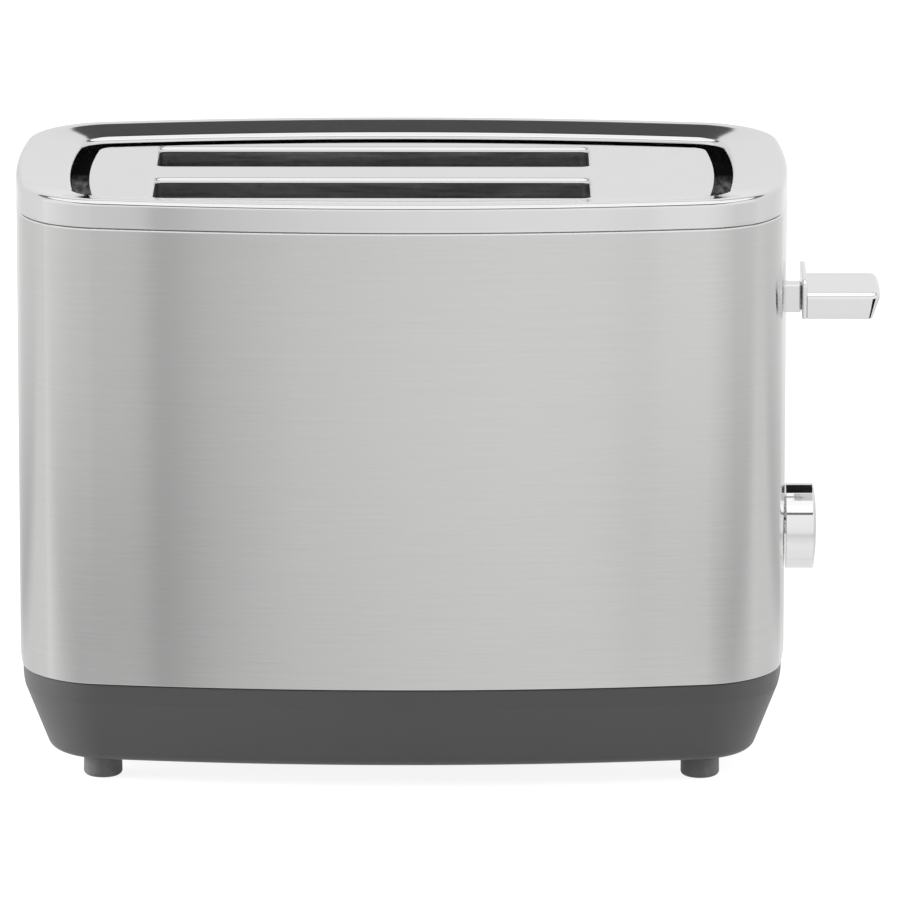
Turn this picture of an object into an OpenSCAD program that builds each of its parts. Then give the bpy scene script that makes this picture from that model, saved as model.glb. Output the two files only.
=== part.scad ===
// Two slice pop up toaster, built as it is assembled: a moulded base with a crumb tray, a brushed
// sleeve, a bright top ring round the slot plate, and the chassis with its heaters, bread guards,
// carriage and controls. The guards close on the bread as the carriage goes down.
// The modules work from the centre of the body. The part's origin is the centre of its whole
// footprint, lever included, on the surface it stands on. +X is the lever end, +Z is up.

/* [Body] */
// Width of the body between its bowed ends
body_w = 270; // [264:1:290]
// Depth of the body between its bowed long sides
body_d = 148.4; // [144:0.2:170]
// How far a long side bows out over its length
side_bow = 12.9; // [9:0.1:15]
// How far an end bows out over its width
end_bow = 7.9; // [6:0.1:12]
// Radius of the upright corners
corner_r = 31.5; // [28:0.5:34]

/* [Levels] */
// Height of the feet under the base
foot_h = 8; // [5:0.5:12]
// Height of the base
base_h = 30.1; // [28:0.1:36]
// Height of the sleeve
shell_h = 163.2; // [156:0.2:172]
// Height of the top ring's outer band
ring_h = 9.5; // [8.5:0.1:12]

/* [Base] */
// Thickness of the base's walls
base_wall = 2.6; // [2:0.1:3.2]
// Thickness of the base's floor
base_floor = 2.5; // [2:0.1:4]
// Height of the upright band above the tapered wall
crease_drop = 6.9; // [4:0.1:9]
// Inward taper of the base's wall for each unit of height
base_taper = 0.39; // [0.3:0.01:0.45]
// Radius of the base's bottom edge
base_round = 4.5; // [3:0.5:5]
// Height of the posts that carry the chassis
post_h = 14; // [13.5:0.5:18]
// Diameter of the feet
foot_d = 13.6; // [11:0.2:15]
// Distance of the feet's centres from the ends and the sides of the body
foot_inset = 30.2; // [29:0.2:36]

/* [Sleeve and ring] */
// Thickness of the sleeve's steel
shell_t = 0.9; // [0.7:0.1:1.2]
// Width of the ring's top face
ring_w = 19.4; // [17:0.1:20]
// How far the ring's top face falls towards the slots
ring_fall = 2.3; // [1.5:0.1:3]
// Thickness of the ring's metal
ring_t = 1.2; // [1:0.1:1.5]
// Radius of the ring's outer top edge
ring_edge_r = 2; // [1.5:0.1:2.5]
// Width of the groove between the ring and the slot plate
groove_w = 6; // [5:0.1:7]

/* [Slots] */
// Space between the slots and the body's plain end
plain_space = 49; // [46:0.5:56]
// Space between the slots and the lever end, for the carriage and the controls
lever_space = 69.5; // [66:0.5:76]
// Width of a bread slot
slot_w = 29.9; // [28:0.1:31]
// Distance between the slots' centre lines
slot_pitch = 51.1; // [51:0.1:53]
// Radius of the slots' corners
slot_corner_r = 3; // [2:0.5:5]
// Depth of the slot plate under the ring's top
plate_drop = 4.2; // [4:0.1:6]
// Thickness of the slot plate
plate_t = 1.2; // [1:0.1:1.5]
// Depth of the collars that line the slots
collar_h = 9; // [7:0.5:10]

/* [Chassis] */
// Thickness of the end plates' steel
sheet_t = 1.2; // [1:0.1:1.5]
// Space between a slot's end and the end plate
end_gap = 4.5; // [3.5:0.1:6]
// Thickness of the mica cards
card_t = 0.8; // [0.6:0.1:1]
// Thickness of the heating ribbon
ribbon_t = 0.4; // [0.3:0.05:0.5]
// Width of the heating ribbon
ribbon_w = 2.4; // [1.5:0.1:3]
// Distance between the ribbon's turns
ribbon_pitch = 9; // [7.5:0.5:12]

/* [Bread lift] */
// Travel of the lever and of the bread racks
lever_travel = 54; // [46:1:56]
// Depth of the raised racks under the slot plate
rack_drop = 92; // [90:1:96]
// Height of the rack's strips
rack_h = 8; // [6:0.5:9]
// Thickness of the rack's steel
rack_t = 1.5; // [1:0.1:2]
// Width of the rack under the bread
rack_w = 17; // [14:0.5:18]
// How far each bread guard closes on the bread
guard_shift = 5; // [3:0.1:5.2]
// Diameter of the guards' rods
rod_d = 2.4; // [2:0.1:3]
// Diameter of the guards' upright wires
wire_d = 1.6; // [1.2:0.1:2]
// Diameter of the guide rod
guide_d = 6; // [5:0.5:7]

/* [Lever] */
// Depth of the raised lever's axis under the ring's top
lever_drop = 48.75; // [44:0.1:56]
// Width of the lever's arm
arm_w = 7.5; // [6:0.1:9]
// Height of the lever's arm
arm_h = 10; // [8:0.1:11]
// Reach of the arm outside the body
arm_reach = 5.3; // [4:0.1:8]
// Length of the handle
handle_l = 25.9; // [22:0.1:34]
// Depth of the handle
handle_d = 34; // [26:0.5:38]
// Height of the handle
handle_h = 9.3; // [8:0.1:12]
// Thickness of the handle's flange
flange_t = 1.8; // [1.5:0.1:2.5]
// How far the flange stands above the handle
flange_rise = 4.4; // [3:0.1:6]
// Bow of the handle's outer end
handle_bow = 0.6; // [0.3:0.1:3]
// How far the handle's outer end leans in at its lower edge
handle_lean = 2.7; // [0:0.1:4]
// Radius of the handle's corners at its top
handle_r = 3.1; // [2:0.1:5]
// Radius of the handle's corners at its lower edge
handle_low_r = 1.4; // [1:0.1:3]

/* [Controls] */
// Diameter of the browning knob
knob_d = 30.2; // [24:0.5:32]
// Length of the browning knob
knob_l = 11; // [8:0.1:14]
// Gap between the knob and the sleeve
knob_gap = 0.4; // [0.3:0.1:2]
// Height of the knob's axis above the sleeve's lower edge
knob_rise = 40.9; // [34:0.1:42]
// Diameter of the control's shaft
shaft_d = 6; // [5:0.5:6.5]
// Diameter of the cancel button
button_d = 9; // [7:0.5:10]
// How far the button stands out
button_out = 1.2; // [1:0.1:2]
// Travel of the button
button_travel = 1.5; // [1:0.1:1.8]

/* [Crumb tray] */
// Depth of the crumb tray's pan
tray_h = 7; // [6:0.5:9]
// Thickness of the tray's steel
tray_t = 1; // [0.8:0.1:1.5]
// Height of the tray's front lip
lip_h = 11.4; // [10:0.1:13]

/* [Fits] */
// Clearance between a running shaft and its hole, on the radius
run_gap = 0.05; // [0.03:0.01:0.09]
// Gap between pieces that pass or meet loosely
seat_gap = 0.3; // [0.2:0.05:0.4]
// Side play of an arm in its slot
slot_play = 0.8; // [0.6:0.1:1]

/* [Hidden] */
$fn = 48;
eps = 0.01;
cut = 1;

// Plan outline: two bowed sides, two bowed ends and four round corners
half_w = body_w / 2;
half_d = body_d / 2;
side_r = (half_w ^ 2 + side_bow ^ 2) / (2 * side_bow);
end_r = (half_d ^ 2 + end_bow ^ 2) / (2 * end_bow);
side_c = [0, half_d - side_r];
end_c = [half_w - end_r, 0];
// The corner's centre lies where both bows, moved in by the corner's radius, cross
c_span = norm(end_c - side_c);
c_dir = (end_c - side_c) / c_span;
c_along = ((side_r - corner_r) ^ 2 - (end_r - corner_r) ^ 2 + c_span ^ 2) / (2 * c_span);
c_off = sqrt((side_r - corner_r) ^ 2 - c_along ^ 2);
corner_c = side_c + c_along * c_dir + c_off * [c_dir.y, -c_dir.x];
end_turn = atan2(corner_c.y - end_c.y, corner_c.x - end_c.x);
side_turn = atan2(corner_c.y - side_c.y, corner_c.x - side_c.x);

// Levels
base_z = foot_h;
floor_z = base_z + base_floor;
seam_z = base_z + base_h;
ring_z = seam_z + shell_h;
top_z = ring_z + ring_h;
crease_z = seam_z - crease_drop;
crease_in = 0.9;
seam_in = 0.4;
rim_h = 4;
rim_in = shell_t + seat_gap;

// Slot plate and its well
plate_z = top_z - plate_drop;
well_z = ring_z - 0.4;
plate_in = ring_w + groove_w;
skirt_t = 1;
slot_l = body_w - plain_space - lever_space;
slot_x = (plain_space - lever_space) / 2;

// Chassis
left_x = slot_x - slot_l / 2 - end_gap;
right_x = slot_x + slot_l / 2 + end_gap;
mech_x = right_x + sheet_t;
// The guide rod, the magnet and the board share the space beside the chassis
mech_w = half_w - mech_x;
guide_share = 0.256;
magnet_share = 0.444;
board_share = 0.702;
chassis_z = floor_z + post_h;
bay_y = slot_pitch / 2;
guard_y = slot_w / 2 + seat_gap + wire_d / 2 + 0.4 * (rod_d + wire_d);
card_y = bay_y + guard_y + rod_d / 2 + 3.75;
reflector_y = card_y + 3.5;
reflector_t = 0.6;
plate_half = reflector_y + reflector_t + 1;
tab_half = plate_half - 15.5;
card_top = plate_z - collar_h - 1;
card_rise = 16;
card_low = chassis_z + card_rise;
post_x = 8;
post_y = 32;
post_d = 9;
screw_d = 3.5;

// Bread lift
rack_z = plate_z - rack_drop;
drive_z = rack_z - rack_h / 2;
guard_top = plate_z - collar_h - 3;
guard_low = rack_z - lever_travel + 6;
rod_top_z = guard_top - 4;
carriage_gap = 4;
carriage_t = 1.5;
carriage_x = mech_x + carriage_gap;
carriage_low = drive_z - 6;
carriage_top = drive_z + lever_travel + 6;
carriage_half = bay_y + guard_y + rod_d / 2 + 3;
guide_x = mech_x + guide_share * mech_w;
sleeve_d = guide_d + 4;
lever_z = top_z - lever_drop;
arm_low = lever_z - arm_h / 2;
arm_top = lever_z + arm_h / 2;
sleeve_rise = 12;
sleeve_low = drive_z + sleeve_rise;
bracket_rise = 17.1;
bracket_z = arm_top + bracket_rise;
spring_y = 14;
spring_d = 7;
spring_wire = 0.8;
hook_rise = 20;
hook_z = drive_z + hook_rise;

// The lever's reach moves the centre of the footprint off the centre of the body
footprint_x = (arm_reach + flange_t + handle_l) / 2;

// Latch
magnet_x = mech_x + magnet_share * mech_w;
magnet_y = -24;
magnet_w = 16;
magnet_h = 17.4;
pole_d = 5;
coil_d = 12;
armature_t = 2;
armature_z = carriage_low + 2;
pole_z = armature_z - lever_travel - 2 * seat_gap;
magnet_low = pole_z - magnet_h;

// Controls
board_x = mech_x + board_share * mech_w;
board_t = 1.6;
board_half = 33;
knob_z = seam_z + knob_rise;
board_rise = 24;
board_low = floor_z + board_rise;
board_top = knob_z + knob_d / 2 + 2;
pot_w = 16;
pot_t = 7;
bush_d = shaft_d + 3;
button_y = 25;
button_x = end_x(button_y);

// Crumb tray
tray_x0 = left_x + 2;
tray_x1 = right_x - 2;
tray_y0 = -(card_y - 4);
tray_z = floor_z + seat_gap;
pull_w = 50;

// Cord gland
gland_inset = 40;
gland_x = half_w - gland_inset;
gland_drop = 9.5;
gland_z = crease_z - gland_drop;
gland_bore = 3.4;
gland_wall = 1.6;

// ---- Plan outline ----

function arc(centre, r, from, to, first, steps) =
    [for (i = [first:steps]) let (t = from + (to - from) * i / steps) centre + r * [cos(t), sin(t)]];

function quarter(inset) = concat(
    arc(end_c, end_r - inset, 0, end_turn, 0, 3),
    arc(corner_c, corner_r - inset, end_turn, side_turn, 1, 6),
    arc(side_c, side_r - inset, side_turn, 90, 1, 6)
);

function mirrored(points, sx, sy) = [for (p = points) [sx * p.x, sy * p.y]];
function reversed(points) = [for (i = [len(points) - 1:-1:0]) points[i]];
function part_of(points, first, last) = [for (i = [first:last]) points[i]];

// Half of the outline runs from the right end over the rear side to the left end
function half_plan(inset) =
    let (q = quarter(inset))
    concat(q, part_of(reversed(mirrored(q, -1, 1)), 1, len(q) - 1));

// The body's outline, moved in by inset
function plan(inset) =
    let (h = half_plan(inset))
    concat(h, part_of(reversed(mirrored(h, 1, -1)), 1, len(h) - 2));

// X of the right end's outer face at a distance y from the middle
function end_x(y) = end_c.x + sqrt(end_r ^ 2 - y ^ 2);

// Y of the rear side's outer face at a distance x from the middle
function side_y(x) = side_c.y + sqrt(side_r ^ 2 - x ^ 2);

module plan_wall(outer, inner, low, high) {
    translate([0, 0, low])
    linear_extrude(high - low)
    difference() {
        polygon(plan(outer));
        polygon(plan(inner));
    }
}

function loft_points(rows) = [for (r = rows) for (p = plan(r[0])) [p.x, p.y, r[1]]];

function loft_sides(rows, count, closed) =
    let (n = len(rows), last = closed ? n - 1 : n - 2)
    [for (k = [0:last]) for (i = [0:count - 1]) for (half = [0, 1])
        let (
            a = k * count + i,
            b = k * count + (i + 1) % count,
            c = ((k + 1) % n) * count + (i + 1) % count,
            d = ((k + 1) % n) * count + i
        )
        half == 0 ? [a, c, b] : [a, d, c]];

// Solid through rows of [inset, z], from the bottom up
module loft(rows) {
    count = len(plan(0));
    bottom = [for (i = [0:count - 1]) i];
    top = [for (i = [count - 1:-1:0]) (len(rows) - 1) * count + i];
    polyhedron(loft_points(rows), concat([bottom], loft_sides(rows, count, false), [top]), 10);
}

// Hollow ring with the cross-section of [inset, z] points, from the outer foot upwards
module ring_loft(rows) {
    polyhedron(loft_points(rows), loft_sides(rows, len(plan(0)), true), 10);
}

// ---- Base ----

taper_turn = atan(base_taper);

// Rows of the base's wall, moved in by wall, down to the level low
function wall_in(z) = crease_in + base_taper * (crease_z - z);

function base_rows() =
    let (
        zc = base_z + base_round,
        tangent_z = zc - base_round * sin(taper_turn),
        ic = wall_in(tangent_z) + base_round * cos(taper_turn)
    )
    concat(
        [for (i = [0:4]) let (a = 90 - (90 - taper_turn) * i / 4)
            [ic - base_round * cos(a), zc - base_round * sin(a)]],
        [[crease_in, crease_z], [seam_in, seam_z]]
    );

module base_outer() {
    loft(base_rows());
}

module base_inner() {
    slant = base_wall / cos(taper_turn);
    loft([
        [wall_in(floor_z) + slant, floor_z],
        [crease_in + slant, crease_z],
        [seam_in + slant, seam_z + rim_h + cut]
    ]);
}

module post(x, y, d, low, high) {
    translate([x, y, low])
    cylinder(h = high - low, d = d);
}

foot_x = half_w - foot_inset;
foot_y = half_d - foot_inset;
post_places = [for (x = [left_x - post_x, mech_x + post_x]) for (y = [-post_y, post_y]) [x, y]];
foot_places = [for (x = [-foot_x, foot_x]) for (y = [-foot_y, foot_y]) [x, y]];

module base() {
    color("#5b5e62")
    difference() {
        union() {
            difference() {
                union() {
                    base_outer();
                    plan_wall(rim_in, rim_in + 2, seam_z - 2, seam_z + rim_h);
                }
                base_inner();
            }
            for (p = post_places) post(p.x, p.y, post_d, floor_z - cut, chassis_z);
            magnet_post();
            for (side = [-1, 1]) board_rail(side);
        }
        for (p = post_places) post(p.x, p.y, screw_d + 2 * run_gap, base_z - cut, chassis_z + cut);
        for (p = post_places) post(p.x, p.y, screw_d + 4.5, base_z - cut, base_z + 1.5);
        for (p = foot_places) post(p.x, p.y, foot_stem_d + 2 * run_gap, base_z - cut, floor_z + cut);
        tray_mouth();
        floor_vents();
        gland_place()
        cylinder(h = 60, r = gland_bore + gland_wall + run_gap, center = true);
    }
}

module magnet_post() {
    translate([magnet_x - magnet_w / 2, magnet_y - magnet_w / 2, floor_z - cut])
    cube([magnet_w, magnet_w, magnet_low - floor_z + cut]);
}

// Upright rail on the floor with a groove for the control board's edge
module board_rail(side) {
    rail_w = 5;
    rail_d = 8;
    inner = board_half - 2.5;
    low_y = side > 0 ? inner : -inner - rail_w;
    difference() {
        translate([board_x + board_t / 2 - rail_d / 2, low_y, floor_z - cut])
        cube([rail_d, rail_w, board_low + 12 - floor_z + cut]);
        translate([board_x - run_gap, -board_half - run_gap, board_low - run_gap])
        cube([board_t + 2 * run_gap, 2 * (board_half + run_gap), 20]);
    }
}

module tray_mouth() {
    translate([tray_x0 - seat_gap, 0, floor_z])
    cube([tray_x1 - tray_x0 + 2 * seat_gap, body_d, lip_h + 2 * seat_gap]);
}

module floor_vents() {
    vent_w = 4;
    vent_step = 12;
    count = floor((slot_l - 20) / vent_step);
    for (i = [0:count])
    translate([slot_x + (i - count / 2) * vent_step - vent_w / 2, tray_y0 - 12, base_z - cut])
    cube([vent_w, 8, base_floor + 2 * cut]);
}

// ---- Feet and screws ----

foot_stem_d = 6.8;

module feet() {
    r = foot_d / 2;
    edge = 1.5;
    color("#1c1c1d")
    for (p = foot_places)
    translate([p.x, p.y, 0])
    rotate_extrude()
    polygon(concat(
        [[0, 0]],
        [for (i = [0:4]) let (a = -90 + 90 * i / 4) [r - edge + edge * cos(a), edge + edge * sin(a)]],
        [[r, base_z], [foot_stem_d / 2, base_z], [foot_stem_d / 2, floor_z + 1], [0, floor_z + 1]]
    ));
}

module base_screws() {
    color("#8b8f94")
    for (p = post_places) {
        translate([p.x, p.y, base_z + 1.5 - 2])
        cylinder(h = 2, d = screw_d + 3.5);
        translate([p.x, p.y, base_z + 1.5 - cut])
        cylinder(h = chassis_z + sheet_t + 2 - base_z - 1.5 + cut, d = screw_d);
    }
}

// ---- Crumb tray ----

module crumb_tray() {
    width = tray_x1 - tray_x0;
    color("#9ea2a6")
    intersection() {
        // The lip takes its shape from the base's outer form
        base_outer();
        union() {
            translate([tray_x0, tray_y0, tray_z])
            cube([width, body_d, tray_t]);
            for (x = [tray_x0, tray_x1 - tray_t])
            translate([x, tray_y0, tray_z])
            cube([tray_t, body_d, tray_h]);
            translate([tray_x0, tray_y0, tray_z])
            cube([width, tray_t, tray_h]);
            difference() {
                translate([tray_x0, 0, tray_z])
                cube([width, body_d, lip_h]);
                base_inner();
            }
        }
    }
    color("#9ea2a6")
    tray_pull();
}

// Finger bar on the lip, set into its face
module tray_pull() {
    z = tray_z + 3.5;
    h = 3;
    y = side_y(pull_w / 2) - wall_in(z) - base_wall / 2;
    translate([slot_x - pull_w / 2, y, z])
    cube([pull_w, side_y(0) - y - wall_in(z + h) + 2.2, h]);
}

// ---- Cord gland ----

module gland_place() {
    translate([gland_x, side_y(gland_x) - wall_in(gland_z), gland_z])
    rotate([-90, 0, 0])
    children();
}

module cord_gland() {
    color("#2a2b2d")
    gland_place()
    difference() {
        union() {
            translate([0, 0, -9])
            cylinder(h = 12, r = gland_bore + gland_wall);
            translate([0, 0, -9])
            cylinder(h = 2, r = gland_bore + gland_wall + 1.5);
        }
        cylinder(h = 60, r = gland_bore, center = true);
    }
}

// ---- Sleeve ----

module shell() {
    reach = half_w - guide_x;
    slot_half = arm_w / 2 + slot_play;
    color("#b9babb")
    difference() {
        plan_wall(0, shell_t, seam_z, ring_z);
        translate([guide_x, -slot_half, arm_low - lever_travel - slot_play])
        cube([reach + cut, 2 * slot_half, arm_h + lever_travel + 2 * slot_play]);
        translate([guide_x, 0, knob_z])
        rotate([0, 90, 0])
        cylinder(h = reach + cut, d = shaft_d + 2);
        translate([guide_x, button_y, knob_z])
        rotate([0, 90, 0])
        cylinder(h = reach + cut, r = button_d / 2 + run_gap);
    }
}

// ---- Top ring ----

module top_ring() {
    r = ring_edge_r;
    lip_r = 1.4;
    // Depth of the top face below the band's top, at an inset
    slope = ring_fall / (ring_w - r);
    lip_z = top_z - ring_fall;
    color("#d9dadb")
    ring_loft(concat(
        [[0, ring_z]],
        [for (i = [0:4]) let (a = 90 * i / 4) [r - r * cos(a), top_z - r + r * sin(a)]],
        [for (i = [0:4]) let (a = 90 - 90 * i / 4)
            [ring_w - lip_r + lip_r * cos(a), lip_z - lip_r + lip_r * sin(a) + slope * lip_r * sin(a)]],
        [
            [ring_w, well_z],
            [ring_w - ring_t, well_z],
            [ring_w - ring_t, lip_z - lip_r],
            [rim_in + ring_t, top_z - ring_t - slope * rim_in],
            [rim_in + ring_t, ring_z - rim_h],
            [rim_in, ring_z - rim_h],
            [rim_in, ring_z]
        ]
    ));
}

// ---- Slot plate ----

module slot_outline(grow) {
    r = slot_corner_r + grow;
    w = slot_l + 2 * grow;
    d = slot_w + 2 * grow;
    polygon([
        for (q = [0:3]) for (i = [0:4])
            let (sx = (q == 0 || q == 3) ? 1 : -1, sy = q < 2 ? 1 : -1, a = 90 * q + 90 * i / 4)
            [sx * (w / 2 - r) + r * cos(a), sy * (d / 2 - r) + r * sin(a)]
    ]);
}

module each_slot() {
    for (side = [-1, 1])
    translate([slot_x, side * bay_y])
    children();
}

module slot_plate() {
    color("#cfd0d1")
    union() {
        // Top sheet with the two slots
        translate([0, 0, plate_z - plate_t])
        linear_extrude(plate_t)
        difference() {
            polygon(plan(plate_in));
            each_slot() slot_outline(0);
        }
        // Skirt down to the well and the flange under the ring
        plan_wall(plate_in, plate_in + skirt_t, well_z - plate_t, plate_z - plate_t / 2);
        plan_wall(ring_w - ring_t, plate_in + skirt_t, well_z - plate_t, well_z);
        // Collars round the slots
        translate([0, 0, plate_z - collar_h])
        linear_extrude(collar_h - plate_t / 2)
        difference() {
            each_slot() slot_outline(plate_t);
            each_slot() slot_outline(0);
        }
    }
}

// ---- Chassis ----

// Sheet in the Y-Z plane with its near face at x
module end_sheet(x, half, low, high) {
    translate([x, -half, low])
    cube([sheet_t, 2 * half, high - low]);
}

module end_plate(x, out) {
    foot_x0 = out > 0 ? x : x - 2 * post_x + sheet_t;
    rack_low = rack_z - rack_h - lever_travel - slot_play;
    difference() {
        union() {
            end_sheet(x, plate_half, chassis_z, well_z - plate_t - seat_gap);
            end_sheet(x, tab_half, chassis_z, plate_z - plate_t);
            translate([foot_x0, -plate_half + 10, chassis_z])
            cube([2 * post_x, 2 * (plate_half - 10), sheet_t]);
        }
        // Upright slots for the bread racks
        for (side = [-1, 1])
        translate([x - cut, side * bay_y - rack_t / 2 - slot_play, rack_low])
        cube([sheet_t + 2 * cut, rack_t + 2 * slot_play, rack_h + lever_travel + 2 * slot_play]);
        // Cross slots for the guards' rods
        for (z = [drive_z, rod_top_z]) for (side = [-1, 1]) for (way = [-1, 1])
        guard_slot(x, side, way, z);
        // Slots for the cards' tabs
        for (y = [-card_y, 0, card_y]) for (z = tab_levels)
        translate([x - cut, y - card_t / 2 - run_gap, z - tab_h / 2 - run_gap])
        cube([sheet_t + 2 * cut, card_t + 2 * run_gap, tab_h + 2 * run_gap]);
        for (p = post_places)
        post(p.x, p.y, screw_d + 2 * run_gap, chassis_z - cut, chassis_z + sheet_t + cut);
    }
}

tab_h = 12;
tab_levels = [card_low + 20, card_top - 30];

// side is the bay, way tells the guard on the far (1) or near (-1) side of that bay
module guard_slot(x, side, way, z) {
    y = side * bay_y + way * guard_y;
    end = y - way * guard_shift;
    half = rod_d / 2 + run_gap;
    translate([x - cut, min(y, end) - half, z - half])
    cube([sheet_t + 2 * cut, abs(y - end) + 2 * half, 2 * half]);
}

module chassis_left() {
    color("#b3b6b9")
    end_plate(left_x - sheet_t, -1);
}

module chassis_right() {
    ear = guide_x + sleeve_d / 2 - right_x;
    color("#b3b6b9")
    difference() {
        union() {
            end_plate(right_x, 1);
            for (z = [chassis_z, bracket_z])
            translate([right_x, -8, z])
            cube([ear, 16 + spring_y - 4, sheet_t]);
        }
        for (z = [chassis_z, bracket_z])
        post(guide_x, 0, guide_d + 2 * run_gap, z - cut, z + sheet_t + cut);
    }
}

module reflector(side) {
    color("#a9adb1")
    translate([left_x, side > 0 ? reflector_y : -reflector_y - reflector_t, card_low - 6])
    cube([right_x - left_x, reflector_t, card_top - card_low + 6]);
}

module reflector_front() {
    reflector(-1);
}

module reflector_rear() {
    reflector(1);
}

// ---- Heaters ----

// The ribbon goes through the card at both ends of each turn
ribbon_margin = 9;
ribbon_low = card_low + ribbon_margin;
ribbon_turns = floor((card_top - ribbon_margin - ribbon_low) / ribbon_pitch);

module card(y) {
    reach = sheet_t + 1;
    color("#c8b089")
    difference() {
        union() {
            translate([left_x + seat_gap, y - card_t / 2, card_low])
            cube([right_x - left_x - 2 * seat_gap, card_t, card_top - card_low]);
            for (z = tab_levels)
            translate([left_x - reach, y - card_t / 2, z - tab_h / 2])
            cube([right_x - left_x + 2 * reach, card_t, tab_h]);
        }
        for (i = [0:ribbon_turns]) for (x = [left_x + ribbon_margin - ribbon_t, right_x - ribbon_margin])
        translate([x - run_gap, y - card_t, ribbon_low + i * ribbon_pitch - run_gap])
        cube([ribbon_t + 2 * run_gap, 2 * card_t, ribbon_w + 2 * run_gap]);
    }
}

module card_front() {
    card(-card_y);
}

module card_middle() {
    card(0);
}

module card_rear() {
    card(card_y);
}

// Ribbon round a card, turn by turn
module winding(y) {
    length = right_x - left_x - 2 * ribbon_margin;
    outer = card_t + 2 * ribbon_t;
    color("#8d8a86")
    for (i = [0:ribbon_turns])
    translate([left_x + ribbon_margin, y, ribbon_low + i * ribbon_pitch])
    difference() {
        translate([-ribbon_t, -outer / 2, 0])
        cube([length + 2 * ribbon_t, outer, ribbon_w]);
        translate([0, -card_t / 2, -cut])
        cube([length, card_t, ribbon_w + 2 * cut]);
    }
}

module winding_front() {
    winding(-card_y);
}

module winding_middle() {
    winding(0);
}

module winding_rear() {
    winding(card_y);
}

// ---- Bread guards ----

module rod_x(y, z, d, low, high) {
    translate([low, y, z])
    rotate([0, 90, 0])
    cylinder(h = high - low, d = d);
}

module guard(side, way) {
    y = side * bay_y + way * guard_y;
    wire_y = y - way * 0.4 * (rod_d + wire_d);
    wire_step = 12;
    count = floor((slot_l - 8) / wire_step);
    color("#a4a7aa")
    union() {
        rod_x(y, rod_top_z, rod_d, left_x - sheet_t - 2, right_x + sheet_t + 2);
        rod_x(y, drive_z, rod_d, left_x - sheet_t - 2, carriage_x + carriage_t + 2);
        for (i = [0:count])
        translate([slot_x + (i - count / 2) * wire_step, wire_y, guard_low])
        cylinder(h = guard_top - guard_low, d = wire_d, $fn = 24);
    }
}

module guard_front_outer() {
    guard(-1, -1);
}

module guard_front_inner() {
    guard(-1, 1);
}

module guard_rear_inner() {
    guard(1, -1);
}

module guard_rear_outer() {
    guard(1, 1);
}

// ---- Bread lift ----

module rack(side) {
    finger_step = 16;
    count = floor((slot_l - 12) / finger_step);
    color("#9b9ea2")
    translate([0, side * bay_y, rack_z - rack_h])
    union() {
        translate([left_x - sheet_t - 3, -rack_t / 2, 0])
        cube([carriage_x - left_x + sheet_t + 3, rack_t, rack_h]);
        for (i = [0:count])
        translate([slot_x + (i - count / 2) * finger_step - rack_t / 2, -rack_w / 2, rack_h / 2])
        cube([rack_t, rack_w, rack_h / 2]);
    }
}

module rack_front() {
    rack(-1);
}

module rack_rear() {
    rack(1);
}

// Slanted slot that draws a guard's rod inwards as the carriage goes down
module cam_slot(side, way) {
    from = [side * bay_y + way * guard_y, drive_z];
    to = [from.x - way * guard_shift, drive_z + lever_travel];
    mid = (from + to) / 2;
    turn = atan2(from.x - to.x, to.y - from.y);
    width = rod_d + 4 * run_gap;
    translate([carriage_x - cut, 0, 0])
    rotate([90, 0, 90])
    linear_extrude(carriage_t + 2 * cut)
    translate(mid)
    rotate(turn)
    square([width, norm(to - from) + width], center = true);
}

module carriage() {
    arm_reach_x = magnet_x + magnet_w / 2 + 1 - carriage_x;
    color("#b7babd")
    difference() {
        union() {
            translate([carriage_x, -carriage_half, carriage_low])
            cube([carriage_t, 2 * carriage_half, carriage_top - carriage_low]);
            // Web and sleeve on the guide rod
            translate([carriage_x, -2, sleeve_low])
            cube([guide_x - carriage_x, 4, arm_low - sleeve_low]);
            post(guide_x, 0, sleeve_d, sleeve_low, arm_low);
            // Arm over the armature
            translate([carriage_x, magnet_y - 4, armature_z + armature_t])
            cube([arm_reach_x, 8, carriage_t]);
            // Hook for the spring
            translate([carriage_x, spring_y - 2, hook_z - carriage_t])
            cube([guide_x - carriage_x + 3, 4, carriage_t]);
        }
        post(guide_x, 0, guide_d + 2 * run_gap, sleeve_low - cut, arm_low + cut);
        for (side = [-1, 1]) for (way = [-1, 1]) cam_slot(side, way);
    }
}

module guide_rod() {
    color("#d3d5d7")
    post(guide_x, 0, guide_d, chassis_z - 0.5, bracket_z + sheet_t + 1);
}

// Helix swept along the spring's axis
module return_spring() {
    turns = 9;
    per_turn = 12;
    sides = 6;
    low = hook_z + spring_wire / 2 + seat_gap;
    high = bracket_z - spring_wire / 2 - seat_gap;
    r = (spring_d - spring_wire) / 2;
    steps = turns * per_turn;
    points = [
        for (k = [0:steps]) for (j = [0:sides - 1])
            let (t = 360 * k / per_turn, u = 360 * j / sides, q = r + spring_wire / 2 * cos(u))
            [guide_x + q * cos(t), spring_y + q * sin(t),
                low + (high - low) * k / steps + spring_wire / 2 * sin(u)]
    ];
    sides_of = [
        for (k = [0:steps - 1]) for (j = [0:sides - 1]) for (half = [0, 1])
            let (
                a = k * sides + j,
                b = k * sides + (j + 1) % sides,
                c = (k + 1) * sides + (j + 1) % sides,
                d = (k + 1) * sides + j
            )
            half == 0 ? [a, b, c] : [a, c, d]
    ];
    first = [for (j = [sides - 1:-1:0]) j];
    last = [for (j = [0:sides - 1]) steps * sides + j];
    color("#c5c7c9")
    polyhedron(points, concat([first], sides_of, [last]), 10);
}

// ---- Latch ----

module armature() {
    color("#7f8488")
    translate([magnet_x - magnet_w / 2, magnet_y - magnet_w / 2, armature_z])
    cube([magnet_w, magnet_w, armature_t]);
}

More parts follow.
